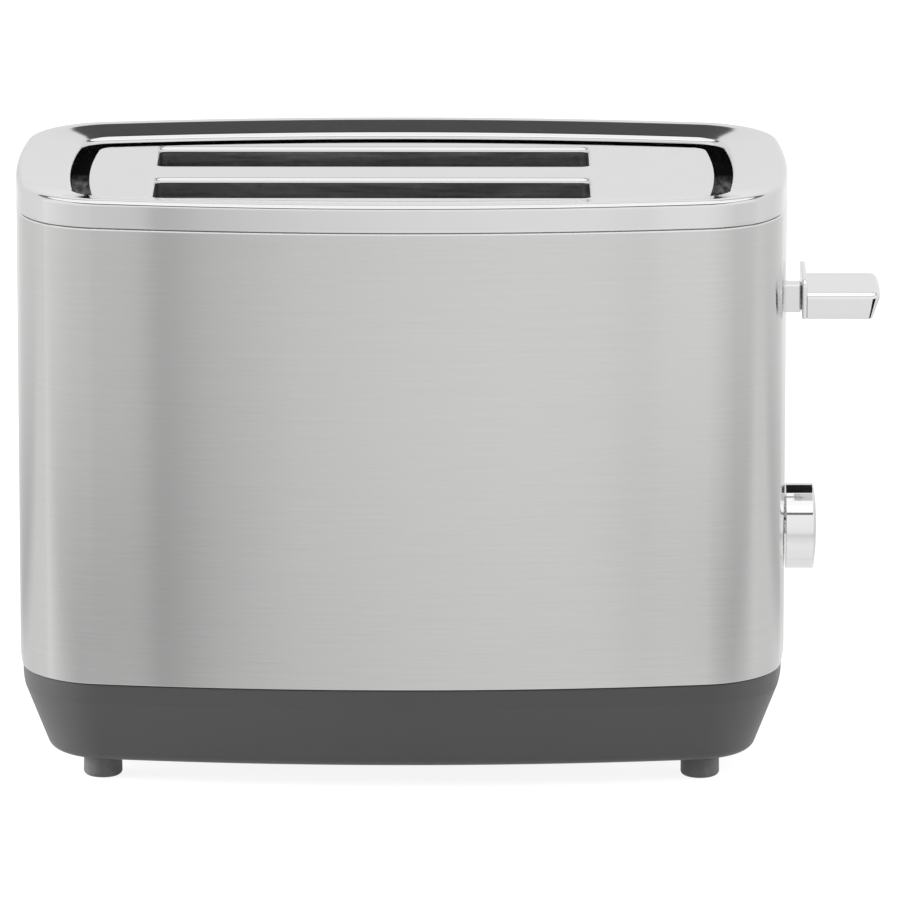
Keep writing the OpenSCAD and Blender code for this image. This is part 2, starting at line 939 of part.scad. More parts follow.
module magnet_core() {
    leg = 1.5;
    color("#6f7377")
    union() {
        translate([magnet_x - magnet_w / 2, magnet_y - magnet_w / 2, magnet_low])
        cube([magnet_w, magnet_w, 2]);
        for (x = [magnet_x - magnet_w / 2, magnet_x + magnet_w / 2 - leg])
        translate([x, magnet_y - magnet_w / 2, magnet_low])
        cube([leg, magnet_w, pole_z - magnet_low]);
        post(magnet_x, magnet_y, pole_d, magnet_low, pole_z);
    }
}

module magnet_coil() {
    color("#a3552b")
    difference() {
        post(magnet_x, magnet_y, coil_d, magnet_low + 2, pole_z - 1.5);
        post(magnet_x, magnet_y, pole_d + 2 * run_gap, magnet_low, pole_z);
    }
}

// ---- Lever ----

module lever_arm() {
    start = guide_x - sleeve_d / 2;
    color("#c9cbcd")
    difference() {
        translate([start, -arm_w / 2, arm_low])
        cube([half_w + arm_reach - start, arm_w, arm_h]);
        post(guide_x, 0, guide_d + 2 * run_gap, arm_low - cut, arm_top + cut);
    }
}

// Plan of the handle out to the reach l, moved in by inset: straight at the flange, bowed at the end
function handle_plan(inset, l, corner) =
    let (
        half = handle_d / 2,
        bow_r = (half ^ 2 + handle_bow ^ 2) / (2 * handle_bow),
        side = half - corner,
        x1 = l - bow_r + sqrt((bow_r - corner) ^ 2 - side ^ 2),
        turn = asin(side / (bow_r - corner)),
        r = corner - inset
    )
    concat(
        [[0, inset - half]],
        [for (i = [0:4]) let (a = -90 + (90 - turn) * i / 4) [x1 + r * cos(a), r * sin(a) - side]],
        [for (i = [1:5]) let (a = -turn + turn * i / 3)
            [l - bow_r + (bow_r - inset) * cos(a), (bow_r - inset) * sin(a)]],
        [for (i = [0:4]) let (a = turn + (90 - turn) * i / 4) [x1 + r * cos(a), side + r * sin(a)]],
        [[0, half - inset]]
    );

// Handle between the flange and the leaning end, with a small slope round its top
module handle_block() {
    edge = 1;
    rows = [
        [handle_plan(0, handle_l - handle_lean, handle_low_r), 0],
        [handle_plan(0, handle_l, handle_r), handle_h - edge],
        [handle_plan(edge, handle_l, handle_r), handle_h]
    ];
    count = len(rows[0][0]);
    last = len(rows) - 1;
    polyhedron(
        [for (row = rows) for (p = row[0]) [p.x, p.y, row[1]]],
        concat(
            [[for (i = [0:count - 1]) i]],
            [for (k = [0:last - 1]) for (i = [0:count - 1]) let (j = (i + 1) % count)
                for (t = [0:1]) t == 0
                    ? [k * count + i, (k + 1) * count + i, (k + 1) * count + j]
                    : [k * count + i, (k + 1) * count + j, k * count + j]],
            [[for (i = [count - 1:-1:0]) last * count + i]]
        ),
        10
    );
}

module lever_handle() {
    color("#dfe0e1")
    translate([half_w + arm_reach, 0, lever_z - arm_h / 2 + 0.7])
    union() {
        translate([0, -handle_d / 2, 0])
        cube([flange_t, handle_d, handle_h + flange_rise]);
        translate([flange_t - eps, 0, 0])
        handle_block();
    }
}

// ---- Controls ----

module control_board() {
    color("#2f6b3c")
    difference() {
        translate([board_x, -board_half, board_low])
        cube([board_t, 2 * board_half, board_top - board_low]);
        rod_x(0, knob_z, shaft_d + 2, board_x - cut, board_x + board_t + cut);
    }
}

// Transformer, capacitor and relay on the board's inner face
transformer = [5, 16, 12];
capacitor_d = 8;
capacitor_l = 6;
relay = [3, 14, 8];

module board_parts() {
    color("#303236")
    union() {
        translate([
            board_x - transformer.x,
            board_half - 1.3 * transformer.y,
            knob_z - 2 * transformer.z
        ])
        cube(transformer);
        rod_x(-board_half / 2, knob_z - 2.3 * capacitor_d, capacitor_d, board_x - capacitor_l, board_x);
        translate([board_x - relay.x, -board_half + relay.y / 2, knob_z - relay.z / 2])
        cube(relay);
    }
}

module timer_pot() {
    bush_end = half_w - shell_t - 1;
    color("#44464a")
    difference() {
        union() {
            translate([board_x + board_t, -pot_w / 2, knob_z - pot_w / 2])
            cube([pot_t, pot_w, pot_w]);
            rod_x(0, knob_z, bush_d, board_x + board_t + pot_t - eps, bush_end);
        }
        rod_x(0, knob_z, shaft_d + 2 * run_gap, board_x + board_t + 1.5, bush_end + cut);
    }
}

module cancel_switch() {
    color("#3b3d40")
    translate([board_x + board_t, button_y - 3, knob_z - 3])
    cube([3.6, 6, 6]);
}

module knob_shaft() {
    color("#bfc1c3")
    rod_x(0, knob_z, shaft_d, board_x + board_t + 2, half_w + knob_gap + knob_l - 3);
}

// Turned knob: straight skirt, soft edge and a low dome
module knob() {
    r = knob_d / 2;
    edge = 0.6;
    dome = 1.1;
    dome_r = ((r - edge) ^ 2 + dome ^ 2) / (2 * dome);
    dome_turn = asin((r - edge) / dome_r);
    color("#e2e3e4")
    translate([half_w + knob_gap, 0, knob_z])
    rotate([0, 90, 0])
    difference() {
        rotate_extrude($fn = 96)
        polygon(concat(
            [[0, 0], [r, 0]],
            [for (i = [0:4]) let (a = 80 * i / 4)
                [r - edge + edge * cos(a), knob_l - dome - edge + edge * sin(a)]],
            [for (i = [1:6]) let (a = dome_turn * (1 - i / 6))
                [dome_r * sin(a), knob_l - dome_r * (1 - cos(a))]]
        ));
        translate([0, 0, -cut])
        cylinder(h = knob_l - 3 + cut, r = shaft_d / 2 + run_gap);
    }
}

module cancel_button() {
    back = board_x + board_t + 3.6 + button_travel + seat_gap;
    color("#8a8d91")
    union() {
        rod_x(button_y, knob_z, button_d, back, button_x + button_out);
        rod_x(button_y, knob_z, button_d + 2.4, back, back + 1.6);
    }
}

module placed() {
    translate([-footprint_x, 0, 0])
    children();
}

placed() base();
placed() feet();
placed() base_screws();
placed() crumb_tray();
placed() cord_gland();
placed() shell();
placed() top_ring();
placed() slot_plate();
placed() chassis_left();
placed() chassis_right();
placed() reflector_front();
placed() reflector_rear();
placed() card_front();
placed() card_middle();
placed() card_rear();
placed() winding_front();
placed() winding_middle();
placed() winding_rear();
placed() guard_front_outer();
placed() guard_front_inner();
placed() guard_rear_inner();
placed() guard_rear_outer();
placed() rack_front();
placed() rack_rear();
placed() carriage();
placed() guide_rod();
placed() return_spring();
placed() armature();
placed() magnet_core();
placed() magnet_coil();
placed() lever_arm();
placed() lever_handle();
placed() control_board();
placed() board_parts();
placed() timer_pot();
placed() cancel_switch();
placed() knob_shaft();
placed() knob();
placed() cancel_button();
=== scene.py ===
"""Two slice pop up toaster: the visible pieces and their finishes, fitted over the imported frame."""
import logging
import math
from dataclasses import dataclass, field
from enum import Enum
from typing import Iterable, Optional, Sequence, Union

import bmesh
import bpy
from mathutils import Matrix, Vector


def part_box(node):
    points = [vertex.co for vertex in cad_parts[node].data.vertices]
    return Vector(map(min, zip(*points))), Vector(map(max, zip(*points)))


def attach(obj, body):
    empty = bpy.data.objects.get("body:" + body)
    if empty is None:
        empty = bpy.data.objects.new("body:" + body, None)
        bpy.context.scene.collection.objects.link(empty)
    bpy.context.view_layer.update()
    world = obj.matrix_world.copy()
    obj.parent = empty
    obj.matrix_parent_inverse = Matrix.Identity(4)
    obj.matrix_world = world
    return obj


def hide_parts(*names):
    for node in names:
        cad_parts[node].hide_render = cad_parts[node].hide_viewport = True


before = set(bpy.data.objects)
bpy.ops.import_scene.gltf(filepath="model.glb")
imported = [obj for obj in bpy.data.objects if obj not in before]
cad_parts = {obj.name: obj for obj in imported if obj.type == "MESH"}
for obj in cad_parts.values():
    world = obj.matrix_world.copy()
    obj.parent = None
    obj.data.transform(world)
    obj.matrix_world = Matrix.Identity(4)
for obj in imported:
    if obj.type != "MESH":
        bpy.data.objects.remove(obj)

Material = bpy.types.Material
Piece = bpy.types.Object
Socket = bpy.types.NodeSocket
Point = tuple[float, float, float]
Colour = tuple[float, float, float]
Row = tuple[float, float]
Source = Union[float, Sequence[float], Socket]

LOG = logging.getLogger("toaster")
MM = 0.001
NODES: dict[str, Piece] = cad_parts
UP = Vector((0, 0, 1))
TO_LEVER = Vector((1, 0, 0))
# Corners flatter than the first angle are shaded smooth; a rounding takes those steeper than the second
SMOOTH_UNDER = 32.0
ROUND_OVER = 40.0
# A Mix node's two colours among its inputs, and its colour among its outputs
MIX_COLOURS = slice(6, 8)
MIX_RESULT = 2
# UV layer, in metres, that runs along the body and up it
GRAIN = "grain"
# Signs of x and y in the four quarters, anticlockwise
QUARTERS = ((1, 1), (-1, 1), (-1, -1), (1, -1))
# A turned row below this radius is a point
ON_AXIS = 1e-7
BASE_FLOOR = 2.5 * MM
# How far a cutter or a joined solid runs on past its neighbour
CLEAR = 1.0 * MM
# Places behind the base's rear wall, for the tray's blanks and for the cutter of its mouth
BEYOND_WALL = 0.1
OUTSIDE = 0.2


def node_box(node: str) -> tuple[Vector, Vector]:
    """Gives a node's box.

    Args:
        node: Name of the node in the frame.

    Returns:
        Its lowest and its highest corner, in metres.
    """
    low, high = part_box(node)
    return Vector(low), Vector(high)


def node_middle(node: str) -> Vector:
    """Returns the middle of a node's box."""
    low, high = node_box(node)
    return (low + high) / 2


def grey(value: float) -> Colour:
    """Returns a neutral colour, or one number for all three axes."""
    return (value, value, value)


def tinted(colour: Sequence[float], factor: float) -> tuple[float, ...]:
    """Returns a colour made lighter or darker."""
    return tuple(min(c * factor, 1.0) for c in colour)


# ---- Shader helpers ----


@dataclass(frozen=True)
class Grain:
    """A noise pattern: units in a metre along each axis, octaves, weight of the fine ones, and UV layer."""

    scale: Point
    detail: float = 3.0
    rough: float = 0.55
    layer: Optional[str] = None


class Nodes:
    """A shader node tree, built link by link."""

    def __init__(self, tree: bpy.types.NodeTree) -> None:
        """Keeps the tree."""
        self.tree = tree

    def feed(self, socket: Socket, value: Source) -> None:
        """Links a socket to a source, or sets its value.

        Args:
            socket: The socket.
            value: A number, a vector or another node's output.
        """
        if isinstance(value, Socket):
            self.tree.links.new(value, socket)
        else:
            socket.default_value = value

    def node(self, kind: str, inputs: Optional[dict] = None, **settings: object) -> bpy.types.Node:
        """Adds a node.

        Args:
            kind: Type of the node without its ShaderNode prefix.
            inputs: Values, or output sockets to link, by input name or number.
            **settings: Attributes of the node.

        Returns:
            The new node.
        """
        made = self.tree.nodes.new("ShaderNode" + kind)
        for key, value in settings.items():
            setattr(made, key, value)
        for key, value in (inputs or {}).items():
            self.feed(made.inputs[key], value)
        return made

    def math(self, operation: str, *values: Source) -> Socket:
        """Works out a number.

        Args:
            operation: Name of the operation.
            *values: The numbers or sources that it takes.

        Returns:
            The result.
        """
        return self.node("Math", dict(enumerate(values)), operation=operation).outputs[0]

    def remap(self, value: Socket, low: float, high: float, start: float = 0.3, end: float = 0.7,
              curve: str = "LINEAR") -> Socket:
        """Stretches a value to a range.

        Args:
            value: The source.
            low: Result at the start.
            high: Result at the end.
            start: Source value that gives low.
            end: Source value that gives high.
            curve: How it runs between them.

        Returns:
            The mapped value.
        """
        made = self.node("MapRange", {"Value": value, "From Min": start, "From Max": end,
                                      "To Min": low, "To Max": high}, interpolation_type=curve)
        return made.outputs["Result"]

    def blend(self, share: Source, first: Source, second: Source, how: str = "MIX") -> Socket:
        """Mixes two colours.

        Args:
            share: Factor between 0 and 1.
            first: Colour at 0.
            second: Colour at 1.
            how: Blend type.

        Returns:
            The mixed colour.
        """
        made = self.node("Mix", {"Factor": share}, data_type="RGBA", blend_type=how)
        for socket, colour in zip(made.inputs[MIX_COLOURS], (first, second)):
            self.feed(socket, colour if isinstance(colour, Socket) else (*colour, 1.0))
        return made.outputs[MIX_RESULT]

    def blend_light(self, share: Socket, first: Socket, second: Socket) -> Socket:
        """Returns a mix of two shaders by a factor."""
        return self.node("MixShader", {0: share, 1: first, 2: second}).outputs[0]

    def ramp(self, value: Socket, stops: Sequence[tuple[float, Colour]]) -> Socket:
        """Adds a colour ramp.

        Args:
            value: Factor between 0 and 1.
            stops: Position and colour of each stop, from low to high.

        Returns:
            The colour.
        """
        made = self.node("ValToRGB", {"Fac": value})
        elements = made.color_ramp.elements
        while len(elements) > 1:
            elements.remove(elements[-1])
        elements[0].position = stops[0][0]
        elements[0].color = (*stops[0][1], 1.0)
        for position, colour in stops[1:]:
            elements.new(position).color = (*colour, 1.0)
        return made.outputs["Color"]


class Shader(Nodes):
    """A material's node tree with one Principled shader."""

    def __init__(self, name: str) -> None:
        """Makes the material.

        Args:
            name: Name of the material.
        """
        self.material = bpy.data.materials.new(name)
        self.material.use_nodes = True
        super().__init__(self.material.node_tree)
        self.surface = self.tree.nodes["Principled BSDF"]

    def set(self, **values: Source) -> None:
        """Sets or links the surface's sockets.

        Args:
            **values: Socket name with underscores for spaces, and its value or source.
        """
        for key, value in values.items():
            self.feed(self.surface.inputs[key.replace("_", " ")], value)

    def wear(self, light: Socket) -> None:
        """Shows another shader in place of the plain surface."""
        self.feed(self.tree.nodes["Material Output"].inputs["Surface"], light)

    def place(self, scale: Point = (1, 1, 1), layer: Optional[str] = None) -> Socket:
        """Gives scaled coordinates on the piece.

        Args:
            scale: How many pattern units go into a metre, along each axis.
            layer: Name of a UV layer, or None for the piece's own space.

        Returns:
            The vector.
        """
        if layer:
            source = self.node("UVMap", uv_map=layer).outputs["UV"]
        else:
            source = self.node("TexCoord").outputs["Object"]
        return self.node("Mapping", {"Vector": source, "Scale": tuple(scale)}).outputs["Vector"]

    def noise(self, grain: Grain) -> Socket:
        """Gives a noise pattern.

        Args:
            grain: The pattern.

        Returns:
            Its value.
        """
        where = self.place(grain.scale, grain.layer)
        return self.node("TexNoise", {"Vector": where, "Scale": 1.0, "Detail": grain.detail,
                                      "Roughness": grain.rough}).outputs["Fac"]

    def cells(self, scale: float, channel: int) -> Socket:
        """Gives a random value for each cell of a pattern.

        Args:
            scale: Cells in a metre.
            channel: Which of the three random values.

        Returns:
            The value.
        """
        made = self.node("TexVoronoi", {"Vector": self.place(grey(scale)), "Scale": 1.0})
        return self.node("SeparateColor", {"Color": made.outputs["Color"]}).outputs[channel]

    def tint(self, share: Socket, colour: Colour, spread: Row) -> None:
        """Varies the base colour a little.

        Args:
            share: Factor between 0 and 1.
            colour: The plain colour.
            spread: Factors of its darkest and its lightest tint.
        """
        self.set(Base_Color=self.blend(share, tinted(colour, spread[0]), tinted(colour, spread[1])))

    def bump(self, height: Socket, relief: Row) -> None:
        """Adds a bump to the surface's normal.

        Args:
            height: Height between 0 and 1.
            relief: Strength of the bump, and height in metres that the value 1 stands for.
        """
        made = self.node("Bump", {"Height": height, "Strength": relief[0], "Distance": relief[1]})
        self.set(Normal=made.outputs["Normal"])


# ---- Finishes ----


@dataclass(frozen=True)
class Finish:
    """A named finish, which each kind paints in its own way."""

    name: str

    def build(self) -> Material:
        """Returns the finish as a material."""
        shader = Shader(self.name)
        self.paint(shader)
        return shader.material

    def paint(self, s: Shader) -> None:
        """Lays the finish on a shader."""
        raise NotImplementedError


@dataclass(frozen=True)
class BrushedSteel(Finish):
    """Steel brushed along the body, with fine long streaks."""

    colour: Colour = (0.62, 0.62, 0.615)
    roughness: float = 0.125
    uneven: float = 0.012
    contrast: float = 0.024
    brush_turn: float = 0.25
    fine: Grain = Grain((50, 1 / 0.00028, 1), 3, 0.6, GRAIN)
    broad: Grain = Grain((50 / 3, 1 / 0.0014, 1), 2, 0.5, GRAIN)
    broad_share: float = 0.5
    relief: Row = (0.15, 0.00001)

    def paint(self, s: Shader) -> None:
        """Lays fine and broad streaks, and stretches the gloss across them.

        Args:
            s: The material's shader.
        """
        fine = s.noise(self.fine)
        streak = s.math("MULTIPLY_ADD", s.noise(self.broad), self.broad_share, fine)
        s.set(Metallic=1.0, Anisotropic=1.0, Anisotropic_Rotation=self.brush_turn)
        s.tint(s.remap(streak, 0, 1, 0.5, 1.0), self.colour, (1 - self.contrast, 1 + self.contrast))
        s.set(Roughness=s.remap(fine, self.roughness - self.uneven, self.roughness + self.uneven))
        s.set(Tangent=s.node("Tangent", direction_type="UV_MAP", uv_map=GRAIN).outputs[0])
        s.bump(fine, self.relief)


@dataclass(frozen=True)
class BrightMetal(Finish):
    """Polished plated metal with faint wipe marks."""

    colour: Colour = (0.8, 0.8, 0.805)
    roughness: float = 0.07
    smudge: float = 0.03
    least_roughness: float = 0.02
    spread: Row = (0.97, 1.02)
    wipe: Grain = Grain(grey(60), 4, 0.6)
    hair: Grain = Grain((900, 140, 900), 2, 0.5)
    relief: Row = (0.03, 0.000004)

    def paint(self, s: Shader) -> None:
        """Lays wipe marks and hair lines.

        Args:
            s: The material's shader.
        """
        wipe = s.noise(self.wipe)
        s.set(Metallic=1.0)
        s.tint(wipe, self.colour, self.spread)
        s.set(Roughness=s.remap(wipe, max(self.roughness - self.smudge, self.least_roughness),
                                self.roughness + self.smudge))
        s.bump(s.noise(self.hair), self.relief)


@dataclass(frozen=True)
class MouldedPlastic(Finish):
    """Moulded plastic with a fine spark texture."""

    colour: Colour
    roughness: float = 0.42
    uneven: float = 0.05
    spread: Row = (0.93, 1.07)
    spark: Grain = Grain(grey(1 / 0.00035), 2, 0.5)
    cloud: Grain = Grain(grey(22), 3, 0.5)
    relief: Row = (0.25, 0.00002)

    def paint(self, s: Shader) -> None:
        """Lays the spark texture over soft clouds.

        Args:
            s: The material's shader.
        """
        spark = s.noise(self.spark)
        s.tint(s.noise(self.cloud), self.colour, self.spread)
        s.set(Roughness=s.remap(spark, self.roughness - self.uneven, self.roughness + self.uneven))
        s.bump(spark, self.relief)


@dataclass(frozen=True)
class GroovePaintedShadeAndLight(Finish):
    """Groove floor painted near black as shade, with a painted smear of reflected light half way along its
    ends.
    """

    # Near black painted shade of the groove's floor, and the painted light of its smear
    dark: float = 0.008
    light: float = 0.22
    painted_light_y: float = -0.002
    painted_light_half: float = 0.024
    full_share: float = 0.4
    grain: Grain = Grain((420, 90, 420), 3, 0.6)
    streak: Row = (0.15, 1.0)
    streak_at: Row = (0.38, 0.68)
    gloss: Row = (0.25, 0.4)

    def paint(self, s: Shader) -> None:
        """Lays the painted smear of reflected light, streaked and fading to both sides, over the painted
        near black shade.

        Args:
            s: The material's shader.
        """
        depth = s.node("SeparateXYZ", {"Vector": s.place()}).outputs["Y"]
        away = s.math("ABSOLUTE", s.math("ADD", depth, -self.painted_light_y))
        near = s.remap(away, 1.0, 0.0, self.full_share * self.painted_light_half, self.painted_light_half)
        streaks = s.remap(s.noise(self.grain), *self.streak, *self.streak_at)
        s.set(Base_Color=s.blend(s.math("MULTIPLY", near, streaks), grey(self.dark), grey(self.light)))
        s.set(Roughness=s.remap(streaks, *self.gloss, 0, 1), Specular_IOR_Level=0.0)


@dataclass(frozen=True)
class FootRubber(Finish):
    """Black rubber, dulled where it rubs on the worktop."""

    colour: Colour = grey(0.06)
    dusty: float = 1.7
    dust: Grain = Grain(grey(260), 4, 0.6)
    dust_at: Row = (0.45, 0.8)
    gloss: Row = (0.5, 0.75)
    relief: Row = (0.3, 0.00004)

    def paint(self, s: Shader) -> None:
        """Lays specks of dust.

        Args:
            s: The material's shader.
        """
        dust = s.noise(self.dust)
        share = s.remap(dust, 0, 1, *self.dust_at)
        s.set(Base_Color=s.blend(share, self.colour, tinted(self.colour, self.dusty)))
        s.set(Roughness=s.remap(dust, *self.gloss))
        s.bump(dust, self.relief)


@dataclass(frozen=True)
class SheetSteel(Finish):
    """Plated sheet steel with soft spangles and rolling lines."""

    colour: Colour
    roughness: float = 0.38
    spangle: float = 0.006
    uneven: float = 0.06
    spread: Row = (0.9, 1.08)
    rolled: Grain = Grain((30, 30, 1500), 2, 0.5)
    relief: Row = (0.1, 0.00001)

    def paint(self, s: Shader) -> None:
        """Lays the spangles and the rolling lines.

        Args:
            s: The material's shader.
        """
        rolled = s.noise(self.rolled)
        s.set(Metallic=1.0)
        s.tint(s.cells(1 / self.spangle, 0), self.colour, self.spread)
        s.set(Roughness=s.remap(rolled, self.roughness - self.uneven, self.roughness + self.uneven))
        s.bump(rolled, self.relief)


@dataclass(frozen=True)
class SlotPaintedShade(Finish):
    """Sheet inside the slots, darkened as painted shade of the deep slots, with long soft streaks."""

    # Dark and light tones of the painted shade inside the slots
    dark: Colour = (0.23, 0.23, 0.235)
    light: Colour = (0.5, 0.5, 0.505)
    streak: Grain = Grain((28, 28, 420), 3, 0.6)
    streak_at: Row = (0.38, 0.72)
    grit: Grain = Grain(grey(900), 2, 0.5)
    gloss: Row = (0.3, 0.4)
    relief: Row = (0.15, 0.00003)

    def paint(self, s: Shader) -> None:
        """Lays the streaks over the painted dark shade, and a fine grit.

        Args:
            s: The material's shader.
        """
        streak = s.noise(self.streak)
        s.set(Metallic=1.0)
        s.set(Base_Color=s.blend(s.remap(streak, 0, 1, *self.streak_at), self.dark, self.light))
        s.set(Roughness=s.remap(s.noise(self.grit), *self.gloss))
        s.bump(streak, self.relief)


@dataclass(frozen=True)
class DrawnWire(Finish):
    """Steel wire or strip, darkened where it gets hot."""

    colour: Colour
    stain: Colour = (0.2, 0.16, 0.13)
    amount: float = 0.3
    roughness: float = 0.34
    patch: Grain = Grain(grey(45), 4, 0.6)
    patch_at: Row = (0.4, 0.75)
    lines: Grain = Grain((2500, 2500, 60), 1, 0.5)
    smoother: float = 0.05
    rougher: float = 0.08
    relief: Row = (0.15, 0.00001)

    def paint(self, s: Shader) -> None:
        """Lays the stains and the lines of the drawing die.

        Args:
            s: The material's shader.
        """
        lines = s.noise(self.lines)
        s.set(Metallic=1.0)
        stained = s.remap(s.noise(self.patch), 0, self.amount, *self.patch_at)
        s.set(Base_Color=s.blend(stained, self.colour, self.stain))
        s.set(Roughness=s.remap(lines, self.roughness - self.smoother, self.roughness + self.rougher))
        s.bump(lines, self.relief)


@dataclass(frozen=True)
class MicaSheet(Finish):
    """Pressed mica: flaky brown layers with a soft gleam."""

    colour: Colour = (0.46, 0.36, 0.24)
    flakes: float = 420
    layer: Grain = Grain((70, 70, 30), 5, 0.65)
    tints: tuple[Row, ...] = ((0.0, 0.7), (0.3, 1.0), (0.7, 1.35))
    gloss: Row = (0.25, 0.5)
    relief: Row = (0.2, 0.00005)

    def paint(self, s: Shader) -> None:
        """Lays the flakes and the layers.

        Args:
            s: The material's shader.
        """
        flake, layer = s.cells(self.flakes, 1), s.noise(self.layer)
        s.set(Base_Color=s.ramp(s.math("MULTIPLY", flake, layer),
                                [(place, tinted(self.colour, tint)) for place, tint in self.tints]))
        s.set(Roughness=s.remap(flake, *self.gloss, 0.0, 1.0))
        s.bump(layer, self.relief)


@dataclass(frozen=True)
class WoundCopper(Finish):
    """Enamelled copper wire wound in layers."""

    colour: Colour = (0.6, 0.25, 0.1)
    waves: float = 628.0
    wander: float = 0.6
    metallic: float = 0.9
    spread: Row = (0.8, 1.15)
    tone: Grain = Grain((120, 120, 400), 2, 0.5)
    gloss: Row = (0.25, 0.5)
    relief: Row = (0.6, 0.0001)

    def paint(self, s: Shader) -> None:
        """Lays the turns of the winding.

        Args:
            s: The material's shader.
        """
        turns = s.node("TexWave", {"Vector": s.place(), "Scale": self.waves, "Distortion": self.wander},
                       bands_direction="Z").outputs["Fac"]
        s.set(Metallic=self.metallic)
        s.tint(s.noise(self.tone), self.colour, self.spread)
        s.set(Roughness=s.remap(turns, *self.gloss, 0.0, 1.0))
        s.bump(turns, self.relief)


@dataclass(frozen=True)
class CircuitBoard(Finish):
    """Green solder mask over fine tracks."""

    mask: Colour = (0.02, 0.14, 0.05)
    track: Colour = (0.05, 0.26, 0.1)
    track_scale: Point = (1, 320, 320)
    track_gap: float = 0.12
    track_length: float = 3.0
    speckle: Grain = Grain(grey(900), 2, 0.5)
    gloss: Row = (0.22, 0.4)
    relief: Row = (0.4, 0.00005)

    def paint(self, s: Shader) -> None:
        """Lays the tracks under the mask.

        Args:
            s: The material's shader.
        """
        tracks = s.node("TexBrick", {"Vector": s.place(self.track_scale), "Scale": 0.5, "Row Height": 1.0,
                                     "Mortar Size": self.track_gap, "Brick Width": self.track_length})
        share = tracks.outputs["Fac"]
        s.set(Base_Color=s.blend(share, self.mask, self.track))
        s.set(Roughness=s.remap(s.noise(self.speckle), *self.gloss))
        s.bump(share, self.relief)


@dataclass(frozen=True)
class SoftIron(Finish):
    """Laminated soft iron with a dark skin."""

    colour: Colour = (0.28, 0.28, 0.29)
    waves: float = 520.0
    spread: Row = (0.75, 1.2)
    skin: Grain = Grain(grey(500), 4, 0.6)
    gloss: Row = (0.4, 0.6)
    relief: Row = (0.3, 0.00003)

    def paint(self, s: Shader) -> None:
        """Lays the skin over the edges of the sheets.

        Args:
            s: The material's shader.
        """
        sheets = s.node("TexWave", {"Vector": s.place(), "Scale": self.waves}, bands_direction="Y")
        skin = s.noise(self.skin)
        s.set(Metallic=1.0)
        s.tint(skin, self.colour, self.spread)
        s.set(Roughness=s.remap(skin, *self.gloss))
        s.bump(sheets.outputs["Fac"], self.relief)


# ---- Plan outline of the body ----


@dataclass(frozen=True)
class PlanPoint:
    """A point of the body's outline and its distance round the body."""

    x: float
    y: float
    run: float


@dataclass(frozen=True)
class BodyOutline:
    """Plan of the body: two bowed sides, two bowed ends and four round corners, all true arcs."""

    centre_x: float
    half_w: float
    half_d: float
    side_bow: float = 12.9 * MM
    end_bow: float = 7.9 * MM
    corner_r: float = 31.5 * MM
    steps: tuple[int, int, int] = (12, 40, 44)

    @classmethod
    def from_frame(cls) -> "BodyOutline":
        """Returns the outline with the sleeve's real width and depth."""
        low, high = node_box("shell")
        return cls((low.x + high.x) / 2, (high.x - low.x) / 2, (high.y - low.y) / 2)

    @property
    def side_r(self) -> float:
        """Returns the radius of a long side."""
        return (self.half_w ** 2 + self.side_bow ** 2) / (2 * self.side_bow)

    @property
    def end_r(self) -> float:
        """Returns the radius of an end."""
        return (self.half_d ** 2 + self.end_bow ** 2) / (2 * self.end_bow)

    def centres(self) -> tuple[Vector, Vector, Vector]:
        """Returns the centres of the end's, the corner's and the side's arc in one quarter."""
        side = Vector((0.0, self.half_d - self.side_r))
        end = Vector((self.half_w - self.end_r, 0.0))
        span = (end - side).length
        way = (end - side) / span
        far, near = self.side_r - self.corner_r, self.end_r - self.corner_r
        along = (far ** 2 - near ** 2 + span ** 2) / (2 * span)
        off = math.sqrt(far ** 2 - along ** 2)
        return end, side + along * way + off * Vector((way.y, -way.x)), side

    def quarter(self) -> list[tuple[Vector, float, float, float]]:
        """Returns centre, radius, angle and distance for each step from an end to a side's middle."""
        end, corner, side = self.centres()
        turn_1 = math.atan2(corner.y - end.y, corner.x - end.x)
        turn_2 = math.atan2(corner.y - side.y, corner.x - side.x)
        arcs = [(end, self.end_r, 0.0, turn_1), (corner, self.corner_r, turn_1, turn_2),
                (side, self.side_r, turn_2, math.pi / 2)]
        points, run = [], 0.0
        for (centre, radius, start, stop), steps in zip(arcs, self.steps):
            for i in range(steps):
                turn = (stop - start) * i / steps
                points.append((centre, radius, start + turn, run + radius * turn))
            run += radius * (stop - start)
        points.append((side, self.side_r, math.pi / 2, run))
        return points

    def loop(self, inset: float = 0.0) -> list[PlanPoint]:
        """Gives the closed outline, moved in evenly.

        Args:
            inset: How far it is moved in.

        Returns:
            Its points, anticlockwise from the middle of the +X end.
        """
        quarter = self.quarter()
        length = quarter[-1][3]
        points = []
        for number, (sx, sy) in enumerate(QUARTERS):
            steps = quarter if number % 2 == 0 else quarter[::-1]
            for centre, radius, angle, run in steps[:-1]:
                x = centre.x + (radius - inset) * math.cos(angle)
                y = centre.y + (radius - inset) * math.sin(angle)
                here = run if number % 2 == 0 else length - run
                points.append(PlanPoint(self.centre_x + sx * x, sy * y, number * length + here))
        return points

    def end_x(self, y: float) -> float:
        """Returns the x of the +X end at a given y."""
        return self.centre_x + self.half_w - self.end_r + math.sqrt(self.end_r ** 2 - y ** 2)

    def side_y(self, x: float) -> float:
        """Returns the y of the +Y side at a given x."""
        return self.half_d - self.side_r + math.sqrt(self.side_r ** 2 - (x - self.centre_x) ** 2)


# ---- Mesh helpers ----


def arc(centre: Row, radius: float, start: float, stop: float, steps: int) -> list[Row]:
    """Gives the points of an arc.

    Args:
        centre: Its centre.
        radius: Its radius.
        start: Direction of its first point from the centre, in degrees.
        stop: Direction of its last point, in degrees.
        steps: Number of steps along it.

    Returns:
        Its points, both ends included.
    """
    turns = (math.radians(start + (stop - start) * i / steps) for i in range(steps + 1))
    return [(centre[0] + radius * math.cos(t), centre[1] + radius * math.sin(t)) for t in turns]


